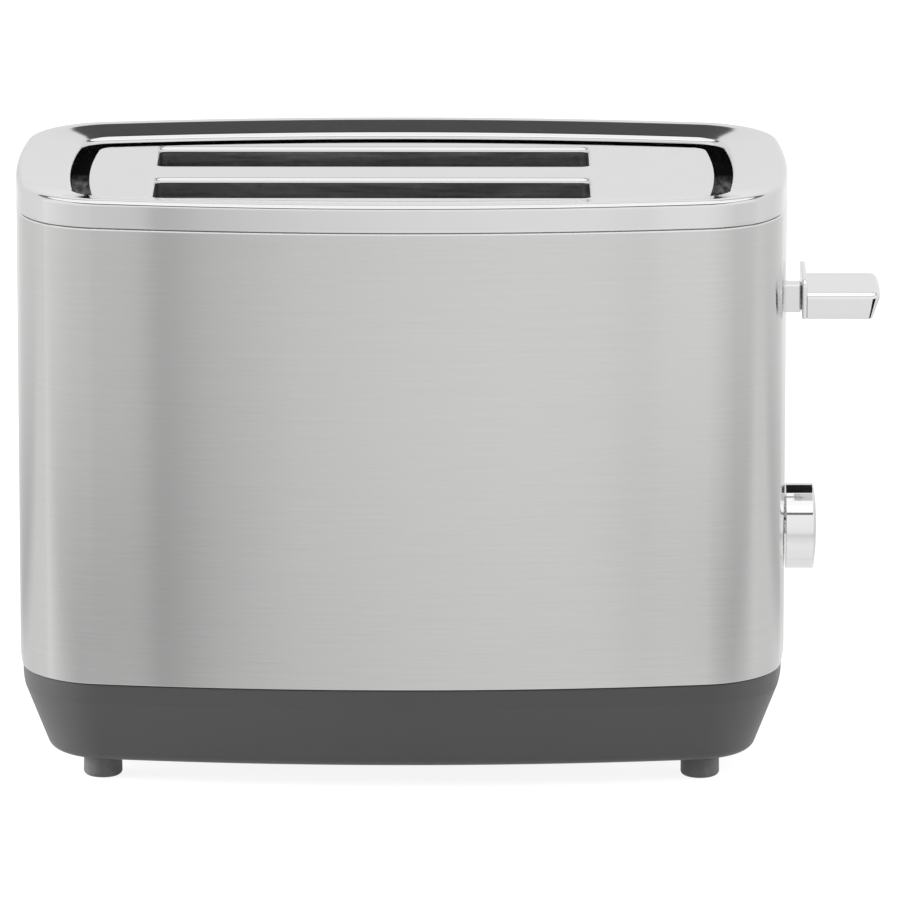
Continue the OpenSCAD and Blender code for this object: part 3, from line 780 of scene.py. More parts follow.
def distances(rows: Sequence[Row]) -> list[float]:
    """Gives the distance of each row along a profile.

    Args:
        rows: Its rows.

    Returns:
        The distance of each row from the first.
    """
    found = [0.0]
    for row, after in zip(rows, rows[1:]):
        found.append(found[-1] + math.dist(row, after))
    return found


@dataclass
class Draft:
    """A mesh in the making."""

    points: list[Point] = field(default_factory=list)
    faces: list[list[int]] = field(default_factory=list)
    grain: list[list[Row]] = field(default_factory=list)

    def add(self, points: Iterable[Sequence[float]]) -> list[int]:
        """Adds points.

        Args:
            points: The points.

        Returns:
            Their numbers.
        """
        start = len(self.points)
        self.points.extend(tuple(float(c) for c in p) for p in points)
        return list(range(start, len(self.points)))

    def face(self, corners: Sequence[int], grain: Optional[Sequence[Row]] = None) -> None:
        """Adds a face.

        Args:
            corners: Numbers of its points.
            grain: Grain coordinates of its corners in metres.
        """
        self.faces.append(list(corners))
        if grain is None:
            grain = [(self.points[c][0], self.points[c][2] + self.points[c][1]) for c in corners]
        self.grain.append(list(grain))

    def caps(self, first: Sequence[int], last: Sequence[int]) -> None:
        """Closes both ends of a row of rows.

        Args:
            first: Point numbers of the first row, whose face looks back.
            last: Point numbers of the last row, whose face looks on.
        """
        self.face(first[::-1])
        self.face(last)

    def lattice(self, rows: Sequence[Sequence[int]], runs: Sequence[float], heights: Sequence[float],
                round_trip: float) -> None:
        """Joins closed rows of points with quads.

        Args:
            rows: Point numbers of each row, all of one length.
            runs: Distance of each point round the row.
            heights: Distance of each row along the profile.
            round_trip: Whole distance round the row.
        """
        count = len(rows[0])
        for low, high, v0, v1 in zip(rows, rows[1:], heights, heights[1:]):
            for i in range(count):
                j = (i + 1) % count
                u0, u1 = runs[i], runs[j] if j else round_trip
                self.face((low[i], low[j], high[j], high[i]), ((u0, v0), (u1, v0), (u1, v1), (u0, v1)))

    def skin(self, outline: BodyOutline, rows: Sequence[Row], closed: bool = False) -> list[list[int]]:
        """Adds a skin that follows the body's outline.

        Args:
            outline: The body's outline.
            rows: Inset and height of each row, walked with the outside on the left hand.
            closed: True to join the last row to the first.

        Returns:
            The point numbers of each row.
        """
        base = outline.loop()
        numbers = [self.add((p.x, p.y, z) for p in outline.loop(inset)) for inset, z in rows]
        ring, profile = list(numbers), list(rows)
        if closed:
            ring.append(numbers[0])
            profile.append(rows[0])
        trip = base[-1].run + (base[1].run - base[0].run)
        self.lattice(ring, [p.run for p in base], distances(profile), trip)
        return numbers

    def block(self, low: Sequence[float], high: Sequence[float]) -> None:
        """Adds a plain block.

        Args:
            low: Its lowest corner.
            high: Its highest corner.
        """
        (x0, y0, z0), (x1, y1, z1) = low, high
        n = self.add([(x0, y0, z0), (x1, y0, z0), (x1, y1, z0), (x0, y1, z0),
                      (x0, y0, z1), (x1, y0, z1), (x1, y1, z1), (x0, y1, z1)])
        for corners in ((3, 2, 1, 0), (4, 5, 6, 7), (0, 1, 5, 4), (1, 2, 6, 5), (2, 3, 7, 6), (3, 0, 4, 7)):
            self.face([n[c] for c in corners])

    def tube(self, start: Sequence[float], stop: Sequence[float], radius: float, steps: int = 32) -> None:
        """Adds a closed cylinder.

        Args:
            start: Centre of its first end.
            stop: Centre of its last end.
            radius: Its radius.
            steps: Number of faces round it.
        """
        start, stop = Vector(start), Vector(stop)
        turn = (stop - start).to_track_quat("Z", "Y").to_matrix()
        circle = arc((0, 0), radius, 0, 360, steps)[:-1]
        low, high = (self.add(end + turn @ Vector((x, y, 0)) for x, y in circle) for end in (start, stop))
        for i in range(steps):
            j = (i + 1) % steps
            self.face((low[i], low[j], high[j], high[i]))
        self.caps(low, high)

    def finish(self, name: str) -> Piece:
        """Makes the piece.

        Args:
            name: Its name.

        Returns:
            The piece, linked to the scene.
        """
        mesh = bpy.data.meshes.new(name)
        mesh.from_pydata(self.points, [], self.faces)
        layer = mesh.uv_layers.new(name=GRAIN)
        for item, uv in zip(layer.data, (uv for face in self.grain for uv in face)):
            item.uv = uv
        mesh.update()
        made = bpy.data.objects.new(name, mesh)
        bpy.context.scene.collection.objects.link(made)
        shade(made)
        return made


def shade(piece: Piece) -> None:
    """Shades a piece smooth, apart from its hard corners.

    Args:
        piece: The piece.
    """
    mesh = piece.data
    mesh.polygons.foreach_set("use_smooth", [True] * len(mesh.polygons))
    mesh.set_sharp_from_angle(angle=math.radians(SMOOTH_UNDER))


def body_solid(name: str, outline: BodyOutline, rows: Sequence[Row]) -> Piece:
    """Makes a closed solid that follows the body's outline.

    Args:
        name: Its name.
        outline: The body's outline.
        rows: Inset and height of each row, from the bottom up.

    Returns:
        The solid.
    """
    draft = Draft()
    numbers = draft.skin(outline, rows)
    draft.caps(numbers[0], numbers[-1])
    return draft.finish(name)


def block_solid(name: str, low: Sequence[float], high: Sequence[float]) -> Piece:
    """Makes a plain block.

    Args:
        name: Its name.
        low: Its lowest corner.
        high: Its highest corner.

    Returns:
        The block.
    """
    draft = Draft()
    draft.block(low, high)
    return draft.finish(name)


def turned(name: str, profile: Sequence[Row], centre: Vector, axis: Vector, steps: int) -> Piece:
    """Makes a turned piece.

    Args:
        name: Name of the piece.
        profile: Radius and height of each row, from the axis to the axis or closed.
        centre: Where height 0 lies.
        axis: Direction of the axis.
        steps: Number of faces round it.

    Returns:
        The piece.
    """
    draft = Draft()
    turn = axis.to_track_quat("Z", "Y").to_matrix()
    rows = []
    for radius, height in profile:
        circle = arc((0, 0), radius, 0, 360, steps)[:-1] if radius > ON_AXIS else [(0, 0)]
        rows.append(draft.add(centre + turn @ Vector((x, y, height)) for x, y in circle))
    marks = distances(profile)
    for low, high, v0, v1, (r0, _), (r1, _) in zip(rows, rows[1:], marks, marks[1:], profile, profile[1:]):
        width = 2 * math.pi * max(r0, r1) / steps
        for i in range(steps):
            j = (i + 1) % steps
            u0, u1 = width * i, width * (i + 1)
            if len(low) == 1:
                draft.face((low[0], high[j], high[i]), ((u0, v0), (u1, v1), (u0, v1)))
            elif len(high) == 1:
                draft.face((low[i], low[j], high[0]), ((u0, v0), (u1, v0), (u0, v1)))
            else:
                draft.face((low[i], low[j], high[j], high[i]), ((u0, v0), (u1, v0), (u1, v1), (u0, v1)))
    return draft.finish(name)


class Cut(Enum):
    """What is done with a second solid."""

    AWAY = "DIFFERENCE"
    JOIN = "UNION"
    KEEP = "INTERSECT"


def bake(piece: Piece) -> None:
    """Turns a piece's modifiers into plain mesh.

    Args:
        piece: The piece.
    """
    made = bpy.data.meshes.new_from_object(piece.evaluated_get(bpy.context.evaluated_depsgraph_get()))
    piece.modifiers.clear()
    old, piece.data = piece.data, made
    bpy.data.meshes.remove(old)
    made.name = piece.name


def carve(piece: Piece, tool: Piece, how: Cut) -> None:
    """Cuts, joins or trims a piece with a second solid, which is then deleted.

    Args:
        piece: The piece.
        tool: The second solid.
        how: What is done with it.
    """
    step = piece.modifiers.new("carve", "BOOLEAN")
    step.operation, step.object, step.solver = how.value, tool, "EXACT"
    bake(piece)
    bpy.data.objects.remove(tool)
    shade(piece)


def rounded(piece: Piece, width: float, segments: int) -> None:
    """Rounds a piece's hard corners.

    Args:
        piece: The piece.
        width: Width of the rounding.
        segments: Number of steps across it.
    """
    step = piece.modifiers.new("round", "BEVEL")
    step.width, step.segments, step.limit_method = width, segments, "ANGLE"
    step.angle_limit = math.radians(ROUND_OVER)
    bake(piece)
    shade(piece)


def fit(piece: Piece, material: Material, body: str, slot: str, *nodes: str) -> None:
    """Dresses a piece and ties it to the frame.

    Args:
        piece: The piece.
        material: Its finish.
        body: The body that it moves with.
        slot: The record's material slot; not used.
        *nodes: The nodes that it stands for.
    """
    step = piece.modifiers.new("normals", "WEIGHTED_NORMAL")
    step.mode, step.weight, step.keep_sharp = "FACE_AREA", 50, True
    bake(piece)
    piece.data.materials.clear()
    piece.data.materials.append(material)
    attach(piece, body)
    if nodes:
        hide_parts(*nodes)
    LOG.info("%s: %d faces on %s", piece.name, len(piece.data.polygons), body)


# ---- Sub-assemblies ----


@dataclass
class Levels:
    """Heights that the pieces share, read from the frame."""

    floor_top: float
    base_low: float
    seam: float
    ring_low: float
    top: float
    plate_top: float
    knob: float

    @classmethod
    def from_frame(cls) -> "Levels":
        """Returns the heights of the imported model."""
        shell_low, shell_high = node_box("shell")
        base_low = node_box("base")[0].z
        return cls(base_low + BASE_FLOOR, base_low, shell_low.z, shell_high.z, node_box("top_ring")[1].z,
                   node_box("slot_plate")[1].z, node_middle("knob").z)


@dataclass
class BaseTub:
    """Moulded base: an upright band, a tapered wall, a soft bottom edge, posts and openings."""

    outline: BodyOutline
    levels: Levels
    wall: float = 2.6 * MM
    seam_in: float = 0.4 * MM
    crease_in: float = 0.9 * MM
    crease_drop: float = 6.9 * MM
    crease_half: float = 0.9 * MM
    taper: float = 0.39
    bottom_r: float = 4.5 * MM
    lip: tuple[Row, ...] = ((0.25 * MM, 0.9 * MM), (0.3 * MM, 0.25 * MM), (0.55 * MM, 0.0))
    rim_h: float = 4.0 * MM
    rim_in: float = 1.2 * MM
    rim_t: float = 2.0 * MM
    post_reach: float = 9.2 * MM
    post_y: float = 32 * MM
    post_r: float = 4.5 * MM
    screw_r: float = 1.8 * MM
    screw_depth: float = 20 * MM
    head_r: float = 4.0 * MM
    head_depth: float = 1.5 * MM
    foot_r: float = 6.8 * MM
    stem_hole_r: float = 3.45 * MM
    rail_half: tuple[float, float] = (4.0 * MM, 2.5 * MM)
    rail_h: float = 12 * MM
    rail_clear: float = 8 * MM
    board_play: float = 0.05 * MM
    tray_play: float = 0.3 * MM
    vents: int = 11
    vent_pitch: float = 12 * MM
    vent_half: float = 2 * MM
    vent_from_tray: tuple[float, float] = (12 * MM, 4 * MM)
    gland_r: float = 5.05 * MM
    gland_span: tuple[float, float] = (30 * MM, 120 * MM)

    @property
    def crease(self) -> float:
        """Returns the height of the crease."""
        return self.levels.seam - self.crease_drop

    def wall_in(self, z: float) -> float:
        """Returns the tapered wall's inset at a height."""
        return self.crease_in + self.taper * (self.crease - z)

    def outer_rows(self) -> list[Row]:
        """Returns the outer profile from the bottom up to the seam."""
        lean = math.atan(self.taper)
        zc = self.levels.base_low + self.bottom_r
        touch = zc - self.bottom_r * math.sin(lean)
        ic = self.wall_in(touch) + self.bottom_r * math.cos(lean)
        rows = arc((ic, zc), self.bottom_r, 270, 180 + math.degrees(lean), steps=8)
        for share in (-1.0, -0.5, 0.0, 0.5, 1.0):
            z = self.crease + share * self.crease_half
            rows.append((self.crease_in + self.taper * max(self.crease - z, 0.0), z))
        return rows + [(self.seam_in + inset, self.levels.seam - drop) for inset, drop in self.lip]

    def solid(self, name: str) -> Piece:
        """Returns the outer form as a closed solid of that name."""
        return body_solid(name, self.outline, self.outer_rows())

    def hollow(self) -> Piece:
        """Returns the inner form as a closed solid."""
        slant = self.wall * math.hypot(1, self.taper)
        low = self.levels.floor_top
        return body_solid("base_hollow", self.outline, [
            (self.wall_in(low) + slant, low), (self.crease_in + slant, self.crease),
            (self.seam_in + slant, self.levels.seam + self.rim_h + CLEAR)])

    def rim(self) -> Piece:
        """Returns the rim that the sleeve slips over."""
        draft = Draft()
        low, high = self.levels.seam - self.rim_t, self.levels.seam + self.rim_h
        outer, inner = self.rim_in, self.rim_in + self.rim_t
        draft.skin(self.outline, [(outer, low), (outer, high), (inner, high), (inner, low)], closed=True)
        return draft.finish("base_rim")

    def post_places(self) -> list[Row]:
        """Returns where the chassis posts stand."""
        left = node_box("chassis_left")[1].x - self.post_reach
        right = node_box("chassis_right")[0].x + self.post_reach
        return [(x, y) for x in (left, right) for y in (-self.post_y, self.post_y)]

    def foot_places(self) -> list[Row]:
        """Returns where the feet stand."""
        low, high = node_box("feet")
        r = self.foot_r
        return [(x, y) for x in (low.x + r, high.x - r) for y in (low.y + r, high.y - r)]

    def build(self, finish: Material) -> None:
        """Builds the base.

        Args:
            finish: Its material.
        """
        piece = self.solid("base_tub")
        carve(piece, self.hollow(), Cut.AWAY)
        carve(piece, self.rim(), Cut.JOIN)
        foot, seat = self.levels.floor_top - CLEAR, node_box("chassis_left")[0].z
        posts = Draft()
        for x, y in self.post_places():
            posts.tube((x, y, foot), (x, y, seat), self.post_r)
        core_low, core_high = node_box("magnet_core")
        posts.block((core_low.x, core_low.y, foot), (core_high.x, core_high.y, core_low.z))
        carve(piece, posts.finish("base_posts"), Cut.JOIN)
        self.board_rails(piece)
        self.openings(piece)
        self.holes(piece)
        fit(piece, finish, "housing", "base_plastic", "base")

    def board_rails(self, piece: Piece) -> None:
        """Adds to the base the two grooved rails that hold the control board.

        Args:
            piece: The base.
        """
        low, high = node_box("control_board")
        middle, foot, top = (low.x + high.x) / 2, self.levels.floor_top - CLEAR, low.z + self.rail_h
        half_x, half_y = self.rail_half
        rails = Draft()
        for y in (-high.y, high.y):
            rails.block((middle - half_x, y - half_y, foot), (middle + half_x, y + half_y, top))
        made = rails.finish("base_rails")
        play = Vector(grey(self.board_play))
        groove = block_solid("base_groove", low - play, (*(high + play).xy, top + self.rail_clear))
        carve(made, groove, Cut.AWAY)
        carve(piece, made, Cut.JOIN)

    def openings(self, piece: Piece) -> None:
        """Cuts the tray's mouth and the screws' holes in the base.

        Args:
            piece: The base.
        """
        low, high = node_box("crumb_tray")
        under, play = self.levels.base_low, self.tray_play
        cutter = Draft()
        cutter.block((low.x - play, 0.0, self.levels.floor_top), (high.x + play, OUTSIDE, high.z + play))
        for x, y in self.post_places():
            cutter.tube((x, y, under - CLEAR), (x, y, under + self.screw_depth), self.screw_r)
            cutter.tube((x, y, under - 2 * CLEAR), (x, y, under + self.head_depth), self.head_r)
        carve(piece, cutter.finish("base_cuts"), Cut.AWAY)

    def holes(self, piece: Piece) -> None:
        """Cuts the feet's holes, the vents and the gland's hole in the base.

        Args:
            piece: The base.
        """
        low, high = node_box("crumb_tray")[0], self.levels.floor_top + CLEAR
        under = self.levels.base_low - CLEAR
        cutter = Draft()
        for x, y in self.foot_places():
            cutter.tube((x, y, under), (x, y, high), self.stem_hole_r)
        near, far = (low.y - reach for reach in self.vent_from_tray)
        for i in range(self.vents):
            x = node_middle("crumb_tray").x + (i - (self.vents - 1) / 2) * self.vent_pitch
            cutter.block((x - self.vent_half, near, under), (x + self.vent_half, far, high))
        gland = node_middle("cord_gland")
        start, stop = ((gland.x, y, gland.z) for y in self.gland_span)
        cutter.tube(start, stop, self.gland_r)
        carve(piece, cutter.finish("base_holes"), Cut.AWAY)


@dataclass
class CrumbTray:
    """Crumb tray: a folded pan, a lip that completes the base's wall, and a finger bar."""

    base: BaseTub
    sheet: float = 1.0 * MM
    pan_h: float = 7.0 * MM
    lip_h: float = 11.4 * MM
    corner_r: float = 0.25 * MM
    bar_l: float = 50 * MM
    bar_h: float = 3 * MM
    bar_up: float = 3.5 * MM
    bar_corner_r: float = 0.8 * MM

    def build(self, finish: Material) -> None:
        """Builds the tray.

        Args:
            finish: Its material.
        """
        low, high = node_box("crumb_tray")
        x0, x1, y0, z0 = low.x, high.x, low.y, low.z
        side_top = z0 + self.pan_h
        made = block_solid("tray_floor", low, (x1, BEYOND_WALL, z0 + self.sheet))
        for x in (x0, x1 - self.sheet):
            side = block_solid("tray_side", (x, y0, z0), (x + self.sheet, BEYOND_WALL, side_top))
            carve(made, side, Cut.JOIN)
        carve(made, block_solid("tray_end", low, (x1, y0 + self.sheet, side_top)), Cut.JOIN)
        lip = block_solid("tray_lip", (x0, 0.0, z0), (x1, BEYOND_WALL, z0 + self.lip_h))
        carve(lip, self.base.hollow(), Cut.AWAY)
        carve(made, lip, Cut.JOIN)
        carve(made, self.base.solid("tray_form"), Cut.KEEP)
        rounded(made, self.corner_r, segments=2)
        fit(made, finish, "tray", "tray_steel", "crumb_tray")
        self.finger_bar(finish, (x0 + x1) / 2, z0 + self.bar_up)

    def finger_bar(self, finish: Material, x: float, z: float) -> None:
        """Builds the bar that the tray is pulled by.

        Args:
            finish: Its material.
            x: Middle of the bar.
            z: Its underside.
        """
        half, front = self.bar_l / 2, node_box("crumb_tray")[1].y
        back = self.base.outline.side_y(x + half) - self.base.wall_in(z) - self.base.wall / 2
        piece = block_solid("tray_bar", (x - half, back, z), (x + half, front, z + self.bar_h))
        rounded(piece, self.bar_corner_r, segments=4)
        fit(piece, finish, "tray", "tray_steel", "crumb_tray")


@dataclass
class Feet:
    """Four round rubber feet."""

    base: BaseTub
    edge_r: float = 1.6 * MM
    stem_r: float = 3.4 * MM
    stem_l: float = 3.4 * MM
    rim: tuple[Row, ...] = ((3.2 * MM, 0.6 * MM), (2.9 * MM, 0.1 * MM), (2.6 * MM, 0.0))
    draw: float = 0.1 * MM

    def build(self, finish: Material) -> None:
        """Builds the feet.

        Args:
            finish: Their material.
        """
        low = self.base.levels.base_low
        r, e, stem, stem_top = self.base.foot_r, self.edge_r, self.stem_r, low + self.stem_l
        profile = [(0.0, self.rim[0][1])] + [(r - inset, z) for inset, z in self.rim]
        profile += arc((r - e, e), e, -90, 0, steps=8)
        profile += [(r - self.draw, low), (stem, low), (stem, stem_top), (0.0, stem_top)]
        for number, (x, y) in enumerate(self.base.foot_places()):
            piece = turned(f"foot_{number + 1}", profile, Vector((x, y, 0)), UP, steps=64)
            fit(piece, finish, "housing", "foot_rubber", "feet")


@dataclass
class Sleeve:
    """Brushed steel sleeve with a lever slot and two holes in its +X end."""

    outline: BodyOutline
    levels: Levels
    sheet: float = 0.9 * MM
    seam_gap: float = 0.25 * MM
    low_hem_r: float = 0.35 * MM
    top_hem_r: float = 0.6 * MM
    slot_half: float = 4.55 * MM
    slot_corner_r: float = 1.2 * MM
    travel: float = 54 * MM
    play: float = 0.8 * MM
    shaft_hole_r: float = 4.0 * MM
    button_hole_r: float = 4.6 * MM
    cut_depth: tuple[float, float] = (6 * MM, 4 * MM)

    def build(self, finish: Material, hem: Material) -> None:
        """Builds the sleeve.

        Args:
            finish: Its material.
            hem: Material of its polished top edge, lighter than the sleeve as a painted highlight.
        """
        low, high = self.levels.seam + self.seam_gap, self.levels.ring_low - self.seam_gap
        r, t = self.low_hem_r, self.sheet
        rows = arc((r, low + r), r, 270, 180, steps=5)
        rows += [(0.0, low + (high - low) * k / 6) for k in range(1, 6)]
        r = self.top_hem_r
        rows += arc((r, high - r), r, 180, 90, steps=6) + [(t, high), (t, low)]
        draft = Draft()
        draft.skin(self.outline, rows, closed=True)
        piece = draft.finish("sleeve")
        self.openings(piece)
        fit(piece, finish, "housing", "brushed_sleeve", "shell")
        # The polished top edge gets a lighter metal than the sleeve, partly a painted highlight
        piece.data.materials.append(hem)
        for face in piece.data.polygons:
            if face.center.z > high - r:
                face.material_index = 1

    def openings(self, piece: Piece) -> None:
        """Cuts the lever slot, the shaft's hole and the button's hole in the sleeve.

        Args:
            piece: The sleeve.
        """
        arm_low, arm_high = node_box("lever_arm")
        x0, x1 = self.outline.end_x(0) - self.cut_depth[0], self.outline.end_x(0) + self.cut_depth[1]
        low, high = arm_low.z - self.travel - self.play, arm_high.z + self.play
        cutter = block_solid("lever_slot", (x0, -self.slot_half, low), (x1, self.slot_half, high))
        rounded(cutter, self.slot_corner_r, segments=4)
        carve(piece, cutter, Cut.AWAY)
        holes, z = Draft(), self.levels.knob
        for y, radius in ((0, self.shaft_hole_r), (node_middle("cancel_button").y, self.button_hole_r)):
            holes.tube((x0, y, z), (x1, y, z), radius, steps=48)
        carve(piece, holes.finish("end_holes"), Cut.AWAY)


@dataclass
class TopRing:
    """Bright ring round the top, with a soft outer edge and a face that falls towards the slots."""

    outline: BodyOutline
    levels: Levels
    width: float = 19.4 * MM
    fall: float = 2.3 * MM
    metal: float = 1.2 * MM
    low_roll_r: float = 1.6 * MM
    top_roll_r: float = 1.75 * MM
    crease: tuple[float, float] = (62.5, 58.5)
    crease_w: float = 0.4 * MM
    crown: tuple[Row, ...] = ((1.0, 3.5), (0.8, 4.2), (0.7, 5.2), (0.8, 6.5))
    fall_rows: tuple[float, ...] = (0.2, 0.5, 0.8)
    lip_r: float = 2.2 * MM
    well: float = 0.4 * MM
    rim_h: float = 4.0 * MM
    rim_in: tuple[float, float] = (1.2 * MM, 2.4 * MM)
    hem: tuple[Row, ...] = ((0.35, 0.02), (0.1, 0.12), (0.0, 0.4), (0.0, 2.0), (0.0, 5.0))
    seat: float = 0.02 * MM
    top_sheet: float = 1.5 * MM
    skirt: float = 2.0 * MM

    def roll(self, lean: float) -> list[Row]:
        """Gives the soft outer edge, with a flat crease that draws a thin line round the ring.

        Args:
            lean: Fall of the face towards the slots, in degrees.

        Returns:
            Insets and heights below the top, from the upright side to the face.
        """
        start, stop = self.crease
        below, above = 4, 9
        turns = [90 - (90 - start) * i / below for i in range(below + 1)]
        turns += [stop + (-lean - stop) * i / above for i in range(above + 1)]
        found = [(0.0, 0.0)]
        for i, (turn, after) in enumerate(zip(turns, turns[1:])):
            radius = self.low_roll_r if i < below else self.top_roll_r
            step = self.crease_w if i == below else radius * math.radians(turn - after)
            middle = math.radians((turn + after) / 2)
            found.append((found[-1][0] + step * math.cos(middle), found[-1][1] + step * math.sin(middle)))
        peak = max(z for _, z in found)
        return [(inset, z - peak) for inset, z in found]

    def face_rows(self, first: Row) -> list[Row]:
        """Gives the face's straight fall and its round lip over the groove.

        Args:
            first: Inset and height where the fall starts.

        Returns:
            The rows after that one.
        """
        e, reach = self.lip_r, self.width - self.lip_r
        lean = math.atan((self.fall - (self.levels.top - first[1])) / (self.width - first[0]))
        centre = (reach, first[1] - math.tan(lean) * (reach - first[0]) - e / math.cos(lean))
        lip = arc(centre, e, 90 - math.degrees(lean), 0, steps=8)
        touch = lip[0]
        fall = [(first[0] + (touch[0] - first[0]) * k, first[1] + (touch[1] - first[1]) * k)
                for k in self.fall_rows]
        return fall + lip

    def rows(self) -> list[Row]:
        """Returns the closed profile of the ring."""
        top, low = self.levels.top, self.levels.ring_low
        rows = [(inset * MM, low + up * MM) for inset, up in self.hem]
        rows += [(inset, top + z) for inset, z in self.roll(self.crown[0][1])]
        for span, tilt in self.crown:
            inset, z = rows[-1]
            rows.append((inset + span * MM, z - span * MM * math.tan(math.radians(tilt))))
        rows += self.face_rows(rows[-1])
        inner, bottom, lip_z = self.width, low - self.well, rows[-1][1]
        back = inner - self.metal
        rows += [(inner, lip_z - self.skirt), (inner, bottom), (back, bottom), (back, lip_z - self.lip_r)]
        near, far = self.rim_in
        rim_z = low - self.rim_h
        return rows + [(far, top - self.top_sheet), (far, rim_z), (near, rim_z), (near, low + self.seat)]

    def build(self, finish: Material) -> None:
        """Builds the ring.

        Args:
            finish: Its material.
        """
        draft = Draft()
        draft.skin(self.outline, self.rows(), closed=True)
        fit(draft.finish("top_band"), finish, "housing", "bright_ring", "top_ring")


@dataclass
class SlotPlate:
    """Slot plate: a flat top with two rolled bread slots, their collars and a skirt in the groove."""

    outline: BodyOutline
    levels: Levels
    plate_in: float = 25.4 * MM
    sheet: float = 1.2 * MM
    edge_r: float = 0.6 * MM
    bead_h: float = 0.14 * MM
    bead_rows: tuple[float, float] = (0.2 * MM, 1.2 * MM)
    roll_r: float = 1.6 * MM
    fillet_r: float = 0.8 * MM
    slot_l: float = 151.5 * MM
    slot_w: float = 29.9 * MM
    slot_pitch: float = 51.1 * MM
    slot_x: float = -10.25 * MM
    corner_r: float = 3.0 * MM
    corner_steps: int = 10
    collar_h: float = 9.0 * MM
    collar_row: float = 5.0 * MM
    collar_gap: float = 1.0 * MM
    ring_in: float = 18.2 * MM
    well: float = 0.4 * MM
    groove_up: float = 0.7 * MM
    liner_down: float = 1.7 * MM
    around_slot: float = 2.5 * MM

    def slot_loop(self, side: int, grow: float) -> list[Row]:
        """Gives the outline of a bread slot.

        Args:
            side: -1 for the front slot and 1 for the rear one.
            grow: How far the outline is moved out.

        Returns:
            Its points, anticlockwise.
        """
        r = self.corner_r + grow
        half_l, half_w = self.slot_l / 2 + grow - r, self.slot_w / 2 + grow - r
        cx, cy = self.outline.centre_x + self.slot_x, side * self.slot_pitch / 2
        points: list[Row] = []
        for number, (sx, sy) in enumerate(QUARTERS):
            centre = (cx + sx * half_l, cy + sy * half_w)
            points += arc(centre, r, 90 * number, 90 * (number + 1), self.corner_steps)
        return points

    def edge_rows(self) -> list[Row]:
        """Returns the plate's edge: the groove's floor, the upright edge and its low bead."""
        top, e, fillet = self.levels.plate_top, self.edge_r, self.fillet_r
        well = self.levels.ring_low - self.well
        crest = top + self.bead_h
        rows = [(self.ring_in, well - self.sheet), (self.ring_in, well)]
        rows += arc((self.plate_in - fillet, well + fillet), fillet, -90, 0, steps=4)
        rows += arc((self.plate_in + e, crest - e), e, 180, 90, steps=6)
        near, far = self.bead_rows
        return rows + [(self.plate_in + e + near, crest), (self.plate_in + e + far, top)]

    def collar(self, draft: Draft, side: int) -> list[int]:
        """Adds the rolled edge and the collar of a bread slot.

        Args:
            draft: The plate in the making.
            side: -1 for the front slot and 1 for the rear one.

        Returns:
            Point numbers of the roll's top row.
        """
        top, r = self.levels.plate_top, self.roll_r
        low = top - self.collar_h
        profile = arc((r, top - r), r, 90, 180, steps=7)
        profile += [(0.0, top - self.collar_row), (0.0, low), (self.sheet, low),
                    (self.sheet, top - self.sheet - self.collar_gap)]
        loops = [draft.add((x, y, z) for x, y in self.slot_loop(side, grow)) for grow, z in profile]
        ring = self.slot_loop(side, 0.0)
        marks = distances(ring + ring[:1])
        draft.lattice([row[::-1] for row in loops], marks[-2::-1], distances(profile), marks[-1])
        return loops[0]

    def build(self, finish: Material, liner: Material, groove: Material) -> None:
        """Builds the plate.

        Args:
            finish: Its material.
            liner: Material inside the slots, darkened as painted shade.
            groove: Material of the groove's floor: painted near black shade with a painted smear of light.
        """
        draft = Draft()
        rims = [draft.skin(self.outline, self.edge_rows())[-1]]
        rims += [self.collar(draft, side) for side in (-1, 1)]
        piece = draft.finish("slot_deck")
        self.fill_top(piece, [pair for rim in rims for pair in zip(rim, rim[1:] + rim[:1])])
        fit(piece, finish, "housing", "slot_plate", "slot_plate")
        for material in (liner, groove):
            piece.data.materials.append(material)
        groove_top = self.levels.ring_low - self.well + self.groove_up
        for face in piece.data.polygons:
            in_slot = self.in_slot(face.center)
            # The groove's floor takes the painted shade and the painted smear of light
            if face.center.z < groove_top and not in_slot:
                face.material_index = 2
            # Faces deep inside the slots take the painted shade of the slot walls
            elif face.center.z < self.levels.plate_top - self.liner_down and in_slot:
                face.material_index = 1

    def in_slot(self, place: Vector) -> bool:
        """Tells whether a point lies within a slot's collar.

        Args:
            place: The point.

        Returns:
            True inside the collar's outline.
        """
        x = place.x - self.outline.centre_x - self.slot_x
        y = abs(place.y) - self.slot_pitch / 2
        return abs(x) < self.slot_l / 2 + self.around_slot and abs(y) < self.slot_w / 2 + self.around_slot

    def fill_top(self, piece: Piece, edges: Sequence[tuple[int, int]]) -> None:
        """Fills the flat top between the plate's edge and the two slots.

        Args:
            piece: The plate.
            edges: Point numbers of the edges round the flat.
        """
        mesh = bmesh.new()
        mesh.from_mesh(piece.data)
        mesh.verts.ensure_lookup_table()
        lines = [mesh.edges.get((mesh.verts[a], mesh.verts[b])) for a, b in edges]
        made = bmesh.ops.triangle_fill(mesh, edges=lines, use_beauty=True, use_dissolve=False, normal=UP)
        layer = mesh.loops.layers.uv[GRAIN]
        for item in made["geom"]:
            if isinstance(item, bmesh.types.BMFace):
                if item.normal.z < 0:
                    item.normal_flip()
                for corner in item.loops:
                    corner[layer].uv = corner.vert.co.xy
        mesh.to_mesh(piece.data)
        mesh.free()
        shade(piece)


